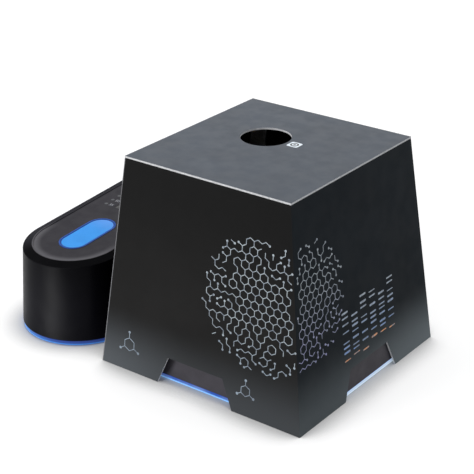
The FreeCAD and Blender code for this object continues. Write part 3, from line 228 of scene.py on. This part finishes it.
def metal(name, colour, roughness, stretch=(1, 1, 1), scale=900):
    """Plain metal with fine drawn or turned lines."""
    paint = Paint(name, roughness, 0.5, Metallic=1.0)
    lines = paint.noise(scale, 3, stretch=stretch)
    paint.set("Base Color", paint.mix(paint.stretch(lines, 0.3, 0.7), shade(colour, 0.86), colour))
    paint.set("Roughness", paint.stretch(lines, 0.3, 0.7, roughness * 0.75, roughness * 1.3))
    paint.bump(lines, 0.00002, 0.4)
    return paint.material


def clear(name, colour, roughness=0.06, ior=1.49, haze=0.0):
    """Clear or tinted acrylic: transmission with faint flow marks and rubbed haze."""
    paint = Paint(name, roughness, 0.5, IOR=ior)
    paint.set("Transmission Weight", 1.0 - haze)
    drift = paint.noise(22, 3)
    paint.set("Base Color", paint.mix(paint.stretch(drift, 0.3, 0.7), shade(colour, 0.94), colour))
    paint.set("Roughness", paint.stretch(paint.noise(60, 4), 0.35, 0.75, roughness, roughness + 0.08))
    paint.bump(drift, 0.00004, 0.3)
    return paint.material


def glow_band(name, left, right, gain):
    """Translucent blue light guide. Each of left and right is a place, a body colour and a foot colour. The
    drift in colour from left to right is painted light and shade on its glow, and its paler foot is painted
    light.
    """
    paint = Paint(name, 0.32, 0.4)
    # Painted light and shade: the colour drifts from the left place to the right one.
    side = paint.stretch(paint.axis("X"), left[0], right[0])
    body = paint.mix(side, left[1], right[1])
    body = paint.mix(paint.stretch(paint.noise(45, 3), 0.35, 0.65, 0.0, 0.25), body, shade(right[1], 0.8))
    body = paint.mix(paint.stretch(paint.axis("Z"), *BAND_TOP), body, (0.006, 0.03, 0.20))
    # Painted light: the foot is paler than the body.
    foot = paint.mix(side, left[2], right[2])
    lit = paint.mix(paint.stretch(paint.axis("Z"), *BAND_FOOT, 1.0, 0.0), body, foot)
    paint.set("Base Color", lit)
    paint.set("Emission Color", lit)
    paint.set("Emission Strength", gain)
    paint.bump(paint.noise(900, 2), 0.00002, 0.3)
    return paint.material


def printed_board(name, outward, ink, specular=0.055, roughness=0.5, low=None, painted_shade_head=None, across="X",
                  fade=(0, 0), worn=None):
    """Black printed board: matt laminate outside, plain dark lining inside, raw pale core on every cut edge.

    Over the print lie painted light and shade: a painted reflection of the floor in the colour low, strongest
    at its foot and less so towards the second place of fade, and painted shade towards its head in the darker
    colour given for that. Its left edge is worn to grey over the width worn. The core of the cut edges low
    down is painted
    whiter: painted light.
    """
    paint = Paint(name, roughness, specular)
    fibres = paint.noise(420, 6, 0.65)
    cloud = paint.noise(26, 5)
    print_wear_and_painted_light = paint.mix(paint.stretch(cloud, 0.3, 0.7), shade(ink, 0.9), shade(ink, 1.1))
    # Painted shade: the print darkens towards the head of the wall.
    if painted_shade_head is not None:
        print_wear_and_painted_light = paint.mix(paint.stretch(paint.axis("Z"), 0.06, 0.18), print_wear_and_painted_light, painted_shade_head)
    # Painted reflection of the floor: the print lightens into the colour low towards its foot.
    if low is not None:
        rise = paint.stretch(paint.axis("Z"), -0.008, 0.057, 1.0, 0.0)
        side = paint.stretch(paint.axis(across), fade[0], fade[1], 1.0, 0.55)
        print_wear_and_painted_light = paint.mix(paint.math("MULTIPLY", rise, side), print_wear_and_painted_light, low)
    if worn is not None:
        lean = (HOOD_HALF_HEAD[0] - HOOD_HALF_FOOT[0]) / HOOD_WALL_TOP
        drift = paint.math("MULTIPLY", paint.axis("Z"), lean)
        edge = paint.math("SUBTRACT", HOOD_X - HOOD_HALF_FOOT[0], drift)
        inward = paint.math("SUBTRACT", paint.axis("X"), edge)
        rub = paint.stretch(paint.noise(140, 3), 0.3, 0.6, 0.75, 1.0)
        rubbed = paint.math("MULTIPLY", paint.math("LESS_THAN", inward, worn), rub)
        print_wear_and_painted_light = paint.mix(rubbed, print_wear_and_painted_light, (0.24, 0.24, 0.25))
    print_wear_and_painted_light = paint.mix(paint.stretch(fibres, 0.62, 0.8, 0.0, 0.12), print_wear_and_painted_light, shade(ink, 2.4))
    layers = paint.noise(500, 3, stretch=(1, 1, 6))
    core = paint.mix(paint.stretch(layers, 0.3, 0.7), (0.50, 0.50, 0.51), (0.82, 0.82, 0.83))
    # Painted light: the core of the cut edges low down, at the cut-outs, is whiter.
    core = paint.mix(paint.stretch(paint.axis("Z"), 0.022, 0.028, 0.9, 0.0), core, (0.95, 0.95, 0.96))
    lining = paint.mix(paint.stretch(fibres, 0.3, 0.7), (0.009, 0.008, 0.008), (0.016, 0.015, 0.015))
    turned = paint.facing(outward)
    inner = paint.math("LESS_THAN", turned, -0.9)
    outer = paint.math("GREATER_THAN", turned, 0.9)
    colour = paint.mix(inner, core, lining)
    paint.set("Base Color", paint.mix(outer, colour, print_wear_and_painted_light))
    gloss = paint.stretch(paint.noise(70, 4), 0.3, 0.7, roughness - 0.05, roughness + 0.05)
    edge_roughness = paint.add("ShaderNodeMix", data_type="FLOAT")
    paint.feed(edge_roughness.inputs["Factor"], outer)
    paint.feed(edge_roughness.inputs["A"], 0.9)
    paint.feed(edge_roughness.inputs["B"], gloss)
    paint.set("Roughness", edge_roughness.outputs["Result"])
    paint.bump(fibres, 0.00003, 0.35)
    return paint.material


def pod_shell():
    """Satin black moulding with a matt rim. The grey crest round the dish, lighter at its front end, is a
    painted highlight, and the grey on the rim's outer side, where it faces left and up, is a painted sheen.
    """
    paint = Paint("pod_shell", 0.42, 0.035)
    cloud = paint.stretch(paint.noise(38, 5), 0.3, 0.7)
    black = paint.mix(cloud, (0.0003, 0.0003, 0.0006), (0.0006, 0.0006, 0.0010))
    reach = paint.off_line((POD_X, 0), POD_LINE, "Y")
    dish = paint.stretch(reach, DISH_RADIUS + DISH_CREST[0], DISH_RADIUS + DISH_CREST[1], 1.0, 0.0)
    high = paint.math("GREATER_THAN", paint.axis("Z"), DISH_LOW)
    # Painted highlight: the crest round the dish is grey, lighter at its front end.
    near = paint.stretch(paint.axis("Y"), *FRONT_END)
    grey = paint.mix(near, (0.095, 0.092, 0.100), (0.034, 0.033, 0.038))
    shell = paint.mix(paint.math("MULTIPLY", dish, high), black, grey)
    # Painted sheen: the rim's outer side, where it faces left and up, is painted lighter grey.
    painted_sheen_facing = paint.stretch(paint.facing((-0.7, 0, 0.7)), 0.75, 0.98, 0.0, 0.8)
    painted_rim_sheen = paint.math("MULTIPLY", painted_sheen_facing, paint.math("SUBTRACT", 1.0, dish))
    shell = paint.mix(painted_rim_sheen, shell, (0.050, 0.050, 0.060))
    paint.set("Base Color", shell)
    satin = paint.stretch(paint.noise(120, 3), 0.3, 0.7, 0.35, 0.40)
    matt_rim = paint.stretch(paint.facing((0, 0, 1)), 0.2, 0.4, 0.0, 0.45)
    paint.set("Roughness", paint.math("ADD", satin, matt_rim))
    paint.bump(paint.noise(1800, 2), 0.000008, 0.5)
    return paint.material


def control_sheet():
    """Dark grey grained sheet, with a painted highlight where it turns up at its edge, strongest at the front
    end.
    """
    paint = Paint("control_sheet", 0.5, 0.07)
    cloud = paint.stretch(paint.noise(38, 5), 0.3, 0.7)
    plain = paint.mix(cloud, (0.026, 0.025, 0.030), (0.032, 0.030, 0.036))
    # Painted highlight: lighter near the edge, mostly at the front end.
    turned = paint.stretch(paint.off_line((POD_X, 0), POD_LINE, "Y"), DISH_RADIUS - 0.008, DISH_RADIUS)
    near = paint.stretch(paint.axis("Y"), *FRONT_END, 1.0, 0.06)
    paint.set("Base Color", paint.mix(paint.math("MULTIPLY", turned, near), plain, (0.110, 0.107, 0.116)))
    paint.set("Roughness", paint.stretch(paint.noise(120, 3), 0.3, 0.7, 0.44, 0.56))
    paint.bump(paint.noise(3200, 2), 0.00001, 0.5)
    return paint.material


def badge_face():
    """Azure badge with a navy line round its edge and a lilac bloom at its far end."""
    paint = Paint("badge_face", 0.33, 0.12)
    bloom = paint.stretch(paint.axis("Y"), -0.036, -0.012, 0.0, 0.4)
    azure = paint.mix(paint.stretch(paint.noise(60, 3), 0.3, 0.7), (0.030, 0.28, 0.76), (0.036, 0.31, 0.82))
    azure = paint.mix(bloom, azure, (0.19, 0.34, 0.82))
    reach = paint.off_line(BADGE_CENTRE, BADGE_LINE, "Y")
    line = paint.stretch(reach, BADGE_RADIUS - 0.0010, BADGE_RADIUS - 0.0006)
    paint.set("Base Color", paint.mix(line, azure, (0.010, 0.06, 0.30)))
    paint.bump(paint.noise(900, 2), 0.000006, 0.5)
    return paint.material


def printed_line(name, low, high, bottom, top, rubbed=(0.20, 0.24, 0.30)):
    """Metallic-looking line print whose tint drifts up the wall, rubbed darker in spots."""
    paint = Paint(name, 0.38, 0.5, Metallic=0.15)
    rise = paint.stretch(paint.axis("Z"), bottom, top)
    colour = paint.mix(rise, low, high)
    paint.set("Base Color", paint.mix(paint.stretch(paint.noise(300, 4), 0.35, 0.7), colour, rubbed))
    paint.bump(paint.noise(1500, 2), 0.00001, 0.3)
    return paint.material


def lit(name, roughness, specular, grain, dark, pale, glow, strength):
    """Clouded plastic that glows."""
    paint = Paint(name, roughness, specular)
    paint.set("Base Color", paint.mix(paint.stretch(paint.noise(grain), 0.3, 0.7), dark, pale))
    paint.set("Emission Color", glow)
    paint.set("Emission Strength", strength)
    return paint.material


# Materials of the frame's pieces

def dress(material, *names):
    for name in names:
        slots = nodes_by_name[name].data.materials
        slots.clear()
        slots.append(material)


def dress_frame():
    dress(pod_shell(), "pod_housing")
    dress(moulded("black_plastic", (0.016, 0.016, 0.018), 0.55, 0.35), "pod_base_plate", "bay_base_plate",
          "bridge_duct", "dc_inlet", "ribbon_plugs", "display_module", "key_switches", "lid_grips")
    # The pod's band is painted darker towards the hood, the bay's band paler on its right face: painted shade
    # and light.
    dress(glow_band("pod_band", (-0.150, (0.06, 0.26, 0.74), (0.13, 0.38, 0.9)),
                    (-0.085, (0.02, 0.06, 0.30), (0.06, 0.24, 0.70)), 0.3), "pod_glow_band")
    dress(glow_band("bay_band", (0.136, (0.014, 0.070, 0.35), (0.24, 0.52, 0.96)),
                    (0.150, (0.56, 0.72, 0.98), (0.72, 0.86, 1.0)), 0.5), "bay_glow_band")
    dress(control_sheet(), "control_panel")
    dress(badge_face(), "badge_plate")
    dress(moulded("badge_frame", (0.012, 0.075, 0.34), 0.3, 0.12, 900, 0.000006), "badge_rim")
    dress(moulded("display_glass", (0.004, 0.004, 0.006), 0.1, 0.5, 600, 0.000003), "display_window")
    dress(moulded("status_lamp", (0.055, 0.060, 0.066), 0.35, 0.3), "indicator_lights")
    dress(moulded("key_grey", (0.10, 0.10, 0.11), 0.45, 0.4), "voltage_button", "timer_button")
    dress(moulded("key_blue", (0.045, 0.22, 0.62), 0.4, 0.45), "light_button")
    dress(moulded("key_green", (0.035, 0.30, 0.12), 0.4, 0.45), "run_button")
    dress(moulded("circuit_board", (0.02, 0.13, 0.05), 0.4, 0.5, 260, 0.00003, 0.3),
          "control_board", "power_board")
    dress(moulded("lamp_board", (0.72, 0.72, 0.70), 0.4, 0.5, 260, 0.00003, 0.05), "led_board")
    dress(moulded("ferrite", (0.06, 0.058, 0.055), 0.7, 0.3, 700, 0.00008), "transformer")
    dress(moulded("capacitor_sleeve", (0.03, 0.045, 0.13), 0.3, 0.5), "capacitors")
    dress(moulded("rubber", (0.02, 0.02, 0.02), 0.8, 0.25, 500, 0.00006), "pod_feet", "bay_feet")
    dress(moulded("ribbon", (0.30, 0.31, 0.33), 0.5, 0.4), "ribbon_cable")
    dress(moulded("bay_shell", (0.056, 0.052, 0.062), 0.5, 0.2), "bay_housing")
    dress(moulded("reflector", (0.80, 0.80, 0.80), 0.6, 0.3, mottle=0.03), "reflector_frame")
    dress(moulded("terminal_black", (0.018, 0.018, 0.018), 0.4, 0.45), "cathode_terminal")
    dress(moulded("terminal_red", (0.50, 0.02, 0.02), 0.4, 0.45), "anode_terminal")
    dress(metal("zinc_steel", (0.58, 0.58, 0.60), 0.32), "pod_screws", "bay_screws", "control_board_screws",
          "power_board_screws", "led_board_screws")
    dress(metal("extruded_aluminium", (0.72, 0.72, 0.74), 0.35, (8, 0.3, 8)), "heat_sink")
    dress(metal("gilt_brass", (0.83, 0.62, 0.28), 0.25), "contact_pins")
    dress(metal("platinum", (0.76, 0.75, 0.73), 0.3), "cathode_wire", "anode_wire")
    dress(clear("tank_acrylic", (0.93, 0.96, 0.97)), "buffer_tank", "gel_tray")
    dress(clear("amber_acrylic", (0.97, 0.42, 0.05)), "safety_lid")
    dress(clear("blue_filter", (0.12, 0.28, 0.86), 0.05), "filter_glass")
    dress(clear("diffuser", (0.88, 0.92, 0.96), 0.5, haze=0.5), "diffuser_plate")
    dress(clear("agarose", (0.90, 0.93, 0.90), 0.3, 1.34, 0.35), "agarose_gel")
    dress(lit("blue_lamp", 0.3, 0.5, 800, (0.3, 0.45, 0.95), (0.5, 0.62, 1.0), (0.12, 0.28, 1.0), 1.5),
          "blue_leds")
    # The side walls take a darker, bluer copy of the front's ink: painted shade.
    warm = (0.0125, 0.0122, 0.0120)
    shaded_side_ink = (0.0036, 0.0068, 0.0100)
    # On every wall the colour low is a painted reflection of the floor at its foot, and the front's dark head
    # colour is painted shade.
    dress(printed_board("board_front", (0, -1, 0), warm, 0.06, low=(0.110, 0.121, 0.132),
                        painted_shade_head=(0.005, 0.005, 0.005), fade=(HOOD_X - 0.1, HOOD_X), worn=0.0007),
          "hood_front_panel")
    dress(printed_board("board_right", (1, 0, 0), shaded_side_ink, 0.045, low=(0.205, 0.235, 0.250), across="Y",
                        fade=(0.09, -0.08)), "hood_right_panel")
    dress(printed_board("board_back", (0, 1, 0), warm, low=(0.08, 0.09, 0.10)), "hood_back_panel")
    dress(printed_board("board_left", (-1, 0, 0), shaded_side_ink, low=(0.08, 0.09, 0.10)), "hood_left_panel")
    # Painted light from above: the top's ink is lighter and bluer than the walls'.
    dress(printed_board("board_top", (0, 0, 1), (0.025, 0.036, 0.053), specular=0.42, roughness=0.42),
          "hood_top_panel")
    dress(printed_board("board_flaps", (0, 0, 1), (0.014, 0.014, 0.015)), "hood_front_tuck_flap",
          "hood_right_tuck_flap", "hood_left_tuck_flap", "hood_glue_flap")


# Print on the hood: thin strokes that lie on its walls

def hood_half(axis, height):
    """Half of the hood's size at a height, across the front for axis 0 and along the side for axis 1."""
    return HOOD_HALF_FOOT[axis] + (HOOD_HALF_HEAD[axis] - HOOD_HALF_FOOT[axis]) * height / HOOD_WALL_TOP


def wall_point(side, along, height):
    """A point of print on a hood wall, a distance along it from its middle and a height above the table."""
    if side == "front":
        return Vector((HOOD_X + along, -hood_half(1, height) - PRINT_LIFT, height))
    return Vector((HOOD_X + hood_half(0, height) + PRINT_LIFT, along, height))


def top_point(x, y, lift=PRINT_LIFT):
    return Vector((x, y, HOOD_TOP + lift))


def add_outline(mesh, points, place):
    """One flat face from points on a surface."""
    verts = [mesh.verts.new(place(*point)) for point in points]
    mesh.faces.new(verts)


def add_stroke(mesh, first, second, width, place):
    (x0, y0), (x1, y1) = first, second
    length = math.hypot(x1 - x0, y1 - y0)
    dx, dy = (x1 - x0) / length * width / 2, (y1 - y0) / length * width / 2
    add_outline(mesh, ((x0 - dy, y0 + dx), (x0 + dy, y0 - dx), (x1 + dy, y1 - dx), (x1 - dy, y1 + dx)), place)


def add_dot(mesh, centre, radius, place, sides=10):
    x, y = centre
    add_outline(mesh, [(x + radius * math.cos(2 * math.pi * step / sides),
                        y + radius * math.sin(2 * math.pi * step / sides)) for step in range(sides)], place)


def add_bar(mesh, centre, length, width, place):
    """A bar with rounded ends, long along the wall."""
    x, y = centre
    reach = length / 2 - width / 2
    outline = []
    for side, start in ((1, -90), (-1, 90)):
        for step in range(5):
            angle = math.radians(start + 45 * step)
            outline.append((x + side * reach + width / 2 * math.cos(angle), y + width / 2 * math.sin(angle)))
    add_outline(mesh, outline, place)


def add_ring(mesh, centre, inner, outer, place, sides=24):
    for step in range(sides):
        first, second = [2 * math.pi * (step + extra) / sides for extra in (0, 1)]
        rim = ((inner, first), (outer, first), (outer, second), (inner, second))
        add_outline(mesh, [(centre[0] + radius * math.cos(angle), centre[1] + radius * math.sin(angle))
                           for radius, angle in rim], place)


def finish_piece(mesh, name, material, body):
    data = bpy.data.meshes.new(name)
    bmesh.ops.recalc_face_normals(mesh, faces=mesh.faces)
    mesh.to_mesh(data)
    mesh.free()
    data.materials.append(material)
    piece = bpy.data.objects.new(name, data)
    bpy.context.scene.collection.objects.link(piece)
    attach(piece, body)


def hexagon_edges(pitch, reach):
    """Edges of a honeycomb over a square field, each once."""
    radius = pitch / math.sqrt(3)
    edges = {}
    count = int(reach / pitch) + 2
    for row in range(-count, count + 1):
        for column in range(-count, count + 1):
            x = (column + 0.5 * (row % 2)) * pitch
            y = row * radius * 1.5
            ring = [(round(x + radius * math.sin(math.pi / 3 * step), 6),
                     round(y + radius * math.cos(math.pi / 3 * step), 6)) for step in range(6)]
            for step in range(6):
                edges[tuple(sorted((ring[step], ring[(step + 1) % 6])))] = True
    return list(edges)


def make_lattice(side, centre, radii, name, material, seed):
    """A honeycomb that thins out from its middle, with dots where its lines end."""
    chance = random.Random(seed)
    mesh = bmesh.new()
    place = lambda along, height: wall_point(side, along, height)
    ends = {}
    for pair in hexagon_edges(HONEYCOMB_PITCH, max(radii)):
        spots = [(centre[0] + x, centre[1] + y) for x, y in pair]
        middle = [(spots[0][axis] + spots[1][axis]) / 2 for axis in (0, 1)]
        far = math.hypot((middle[0] - centre[0]) / radii[0], (middle[1] - centre[1]) / radii[1])
        widest = max(abs(spots[0][0]), abs(spots[1][0]))
        if far > 1 or widest > hood_half(0, middle[1]) - 0.001 or middle[1] < HONEYCOMB_FOOT:
            continue
        if chance.random() < (far - 0.35) * 0.9:
            continue
        add_stroke(mesh, spots[0], spots[1], STROKE, place)
        for spot in spots:
            ends[spot] = ends.get(spot, 0) + 1
    for spot, count in ends.items():
        if count == 1 and chance.random() < 0.75:
            add_dot(mesh, spot, 0.0010, place)
    finish_piece(mesh, name, material, "hood")


def make_lanes(name, material, bottom, bars, seed):
    """Lanes of rounded bars, like the bands of a gel, closer together the higher they are."""
    chance = random.Random(seed)
    mesh = bmesh.new()
    place = lambda along, height: wall_point("right", along, height)
    for lane in range(LANES):
        height = bottom
        for step in range(bars):
            height += 0.0035 + 0.007 * chance.random() * (1 - step / bars * 0.5)
            thickness = 0.0008 + 0.0011 * chance.random()
            add_bar(mesh, (LANE_START + lane * LANE_PITCH, height), LANE_PITCH * 0.66, thickness, place)
    finish_piece(mesh, name, material, "hood")


def make_ring_sign(name, centre, radius, material):
    """A single hexagon on the front wall, with three short bonds that end in dots."""
    mesh = bmesh.new()
    place = lambda along, height: wall_point("front", along, height)
    ring = [(centre[0] + radius * math.sin(math.pi / 3 * step),
             centre[1] + radius * math.cos(math.pi / 3 * step)) for step in range(6)]
    for step in range(6):
        add_stroke(mesh, ring[step], ring[(step + 1) % 6], STROKE, place)
    for step, (dx, dy) in ((0, (0.0, 1.0)), (2, (0.866, -0.5)), (4, (-0.866, -0.5))):
        far = (ring[step][0] + dx * radius * 0.9, ring[step][1] + dy * radius * 0.9)
        add_stroke(mesh, ring[step], far, STROKE, place)
        add_dot(mesh, far, 0.0012, place)
    finish_piece(mesh, name, material, "hood")


def make_camera_sign(pale, dark):
    """A plain sign for a camera beside the hole: a rounded tile with a ring and a dot printed on it."""
    mesh = bmesh.new()
    outline = []
    reach = SIGN_HALF - SIGN_CORNER
    for start, (side_x, side_y) in zip((0, 90, 180, 270), ((1, 1), (-1, 1), (-1, -1), (1, -1))):
        for step in range(5):
            angle = math.radians(start + 22.5 * step)
            outline.append((SIGN_CENTRE[0] + side_x * reach + SIGN_CORNER * math.cos(angle),
                            SIGN_CENTRE[1] + side_y * reach + SIGN_CORNER * math.sin(angle)))
    add_outline(mesh, outline, top_point)
    finish_piece(mesh, "camera_sign_tile", pale, "hood")
    mesh = bmesh.new()
    higher = lambda x, y: top_point(x, y, PRINT_LIFT * 1.8)
    add_ring(mesh, SIGN_CENTRE, *SIGN_RING, higher)
    add_dot(mesh, SIGN_CENTRE, SIGN_DOT, higher, 16)
    finish_piece(mesh, "camera_sign_lens", dark, "hood")


def make_hood_print():
    front = printed_line("print_front", STEEL, SILVER, 0.03, 0.08)
    right = printed_line("print_right", LILAC, SILVER, 0.05, 0.12)
    lanes = printed_line("print_lanes", BLUE, SILVER, 0.03, 0.09)
    marker = printed_line("print_marker", ORANGE, ORANGE, 0.03, 0.12)
    make_lattice("front", (0.060, 0.096), (0.058, 0.056), "print_lattice_front", front, seed=11)
    make_lattice("right", (-0.075, 0.100), (0.048, 0.050), "print_lattice_right", right, seed=5)
    make_lanes("print_lanes_right", lanes, 0.036, bars=7, seed=8)
    make_lanes("print_marker_right", marker, 0.029, bars=1, seed=4)
    make_ring_sign("print_ring_left", (-0.072, 0.024), 0.0058, front)
    make_ring_sign("print_ring_middle", (0.048, 0.022), 0.0048, front)
    white, black = (0.82, 0.90, 0.95), (0.03, 0.032, 0.036)
    make_camera_sign(printed_line("print_white", white, white, 0, 1, (0.70, 0.76, 0.82)),
                     printed_line("print_black", black, black, 0, 1, (0.04, 0.045, 0.05)))


# Print on the pod: plain numbers beside the lamps and plain signs on the keys

def on_pod(x, y, height):
    """The frame of a spot on the pod's sloping top: across, up the slope, and a height square to it."""
    return (Matrix.Translation((POD_X, 0, POD_HEIGHT)) @ Matrix.Rotation(POD_SLOPE, 4, "X")
            @ Matrix.Translation((x, y, height - POD_HEIGHT)))


def make_number(name, text, x, y, height, size, material):
    """Numerals as a flat mesh on the pod's top."""
    curve = bpy.data.curves.new(name, "FONT")
    curve.body = text
    curve.size = size
    curve.align_x = "LEFT"
    curve.align_y = "CENTER"
    source = bpy.data.objects.new(name, curve)
    data = bpy.data.meshes.new_from_object(source)
    bpy.data.objects.remove(source)
    piece = bpy.data.objects.new(name, data)
    piece.data.transform(on_pod(x, y, height))
    piece.data.materials.append(material)
    bpy.context.scene.collection.objects.link(piece)
    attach(piece, "base")


def make_pod_print():
    pale = printed_line("print_pale", (0.36, 0.36, 0.38), (0.36, 0.36, 0.38), 0, 1)
    for text, y in (("35", 0.011), ("50", 0.020), ("100", 0.029)):
        make_number(f"number_{text}", text, -0.0215, y, PANEL_TOP + PRINT_LIFT, 0.0048, pale)
    readout = lit("readout", 0.4, 0.3, 900, (0.35, 0.62, 0.75), (0.45, 0.74, 0.86), (0.30, 0.62, 0.80), 0.5)
    for name, text, x, y, size in (("readout_level", "100", -0.008, 0.0235, 0.0085),
                                   ("readout_clock", "30:00", -0.008, 0.0150, 0.0070)):
        make_number(name, text, x, y, WINDOW_TOP + PRINT_LIFT, size, readout)
    for name, (sign, x, y) in KEYS.items():
        spot = on_pod(x, y, KEY_TOP + PRINT_LIFT)
        mesh = bmesh.new()
        sign(mesh, lambda along, up, spot=spot: spot @ Vector((along, up, 0)))
        finish_piece(mesh, f"sign_{name}", pale, name)


def draw_bolt(mesh, place):
    add_outline(mesh, ((0.0008, 0.0034), (-0.0016, -0.0004), (-0.0001, -0.0004), (0.0002, 0.0006)), place)
    add_outline(mesh, ((-0.0001, -0.0004), (-0.0008, -0.0034), (0.0018, 0.0006), (0.0002, 0.0006)), place)


def draw_clock(mesh, place):
    add_ring(mesh, (0, 0), 0.0028, 0.0034, place)
    add_stroke(mesh, (0, 0), (0, 0.0021), STROKE, place)
    add_stroke(mesh, (0, 0), (0.0016, 0), STROKE, place)


def draw_sun(mesh, place):
    add_dot(mesh, (0, 0), 0.0014, place, 16)
    for step in range(8):
        x, y = math.cos(math.pi / 4 * step), math.sin(math.pi / 4 * step)
        add_stroke(mesh, (x * 0.0021, y * 0.0021), (x * 0.0034, y * 0.0034), STROKE, place)


def draw_arrow(mesh, place):
    add_outline(mesh, ((-0.0020, -0.0030), (0.0032, 0), (-0.0020, 0.0030)), place)


KEYS = {"voltage_button": (draw_bolt, -0.014, 0.054), "timer_button": (draw_clock, 0.014, 0.054),
        "light_button": (draw_sun, -0.014, 0.079), "run_button": (draw_arrow, 0.014, 0.079)}


# Floor, backdrop and light

def make_stage():
    """A pale floor that glows where nothing stands close, so that it is white beyond the object's shadow. The
    fading of its glow where something stands close is a painted contact shadow, on top of the real shadow it
    takes.
    """
    bpy.ops.mesh.primitive_plane_add(size=12, location=(0, 0, 0))
    floor = bpy.context.object
    floor.name = "floor"
    paint = Paint("floor", 1.0, 0.0)
    paint.set("Base Color", (0.52, 0.515, 0.51))
    paint.set("Emission Color", (1.0, 1.0, 1.0, 1.0))
    # Painted shadow: the glow fades where something stands close.
    near = paint.add("ShaderNodeAmbientOcclusion")
    near.inputs["Distance"].default_value = 0.034
    glow_and_painted_shadow = paint.stretch(near.outputs["AO"], 0.44, 0.97, 0.05, 0.58)
    far = paint.stretch(paint.off_line((0, 0), 0.0, "Y"), 0.5, 1.6, 0.0, 0.25)
    strength = paint.math("ADD", glow_and_painted_shadow, far)
    paint.set("Emission Strength", paint.math("MULTIPLY", seen_by(paint.tree), strength))
    floor.data.materials.append(paint.material)


def seen_by(tree):
    """One where a camera, glossy or transmission ray looks, else zero."""
    path = tree.nodes.new("ShaderNodeLightPath")
    total = path.outputs["Is Camera Ray"]
    for name in ("Is Glossy Ray", "Is Transmission Ray"):
        larger = tree.nodes.new("ShaderNodeMath")
        larger.operation = "MAXIMUM"
        tree.links.new(total, larger.inputs[0])
        tree.links.new(path.outputs[name], larger.inputs[1])
        total = larger.outputs[0]
    return total


def make_world():
    world = bpy.data.worlds.new("world")
    bpy.context.scene.world = world
    world.use_nodes = True
    tree = world.node_tree
    tree.nodes.clear()
    output = tree.nodes.new("ShaderNodeOutputWorld")
    fill = tree.nodes.new("ShaderNodeBackground")
    fill.inputs["Color"].default_value = (0.92, 0.95, 1.0, 1)
    fill.inputs["Strength"].default_value = 0.38
    white = tree.nodes.new("ShaderNodeBackground")
    white.inputs["Color"].default_value = (1, 1, 1, 1)
    white.inputs["Strength"].default_value = 1.0
    choice = tree.nodes.new("ShaderNodeMixShader")
    tree.links.new(seen_by(tree), choice.inputs[0])
    tree.links.new(fill.outputs[0], choice.inputs[1])
    tree.links.new(white.outputs[0], choice.inputs[2])
    tree.links.new(choice.outputs[0], output.inputs["Surface"])


def make_lamp(name, spot, target, size, power, spread=180):
    data = bpy.data.lights.new(name, "AREA")
    data.shape = "RECTANGLE"
    data.size, data.size_y = size
    data.energy = power
    data.spread = math.radians(spread)
    lamp = bpy.data.objects.new(name, data)
    lamp.location = spot
    lamp.rotation_mode = "QUATERNION"
    lamp.rotation_quaternion = (Vector(target) - Vector(spot)).to_track_quat("-Z", "Y")
    bpy.context.scene.collection.objects.link(lamp)


def make_lights():
    """Two soft lamps for all, and a narrow beam for the pod's housing alone, which draws its highlight."""
    make_lamp("overhead", (0.1, 0.2, 2.0), (0, 0, 0), (1.6, 1.6), 25)
    make_lamp("key", (-0.70, -1.50, 0.55), (0.0, -0.05, 0.06), (0.8, 0.8), 16)
    make_lamp("strip", (-0.42, -1.62, 0.06), (-0.112, -0.055, 0.022), (0.11, 0.05), 0.24, 5)
    only_pod = bpy.data.collections.new("pod_sheen")
    only_pod.objects.link(nodes_by_name["pod_housing"])
    bpy.data.objects["strip"].light_linking.receiver_collection = only_pod


make_camera()
dress_frame()
make_hood_print()
make_pod_print()
make_stage()
make_world()
make_lights()
bpy.context.scene.view_settings.view_transform = "Standard"
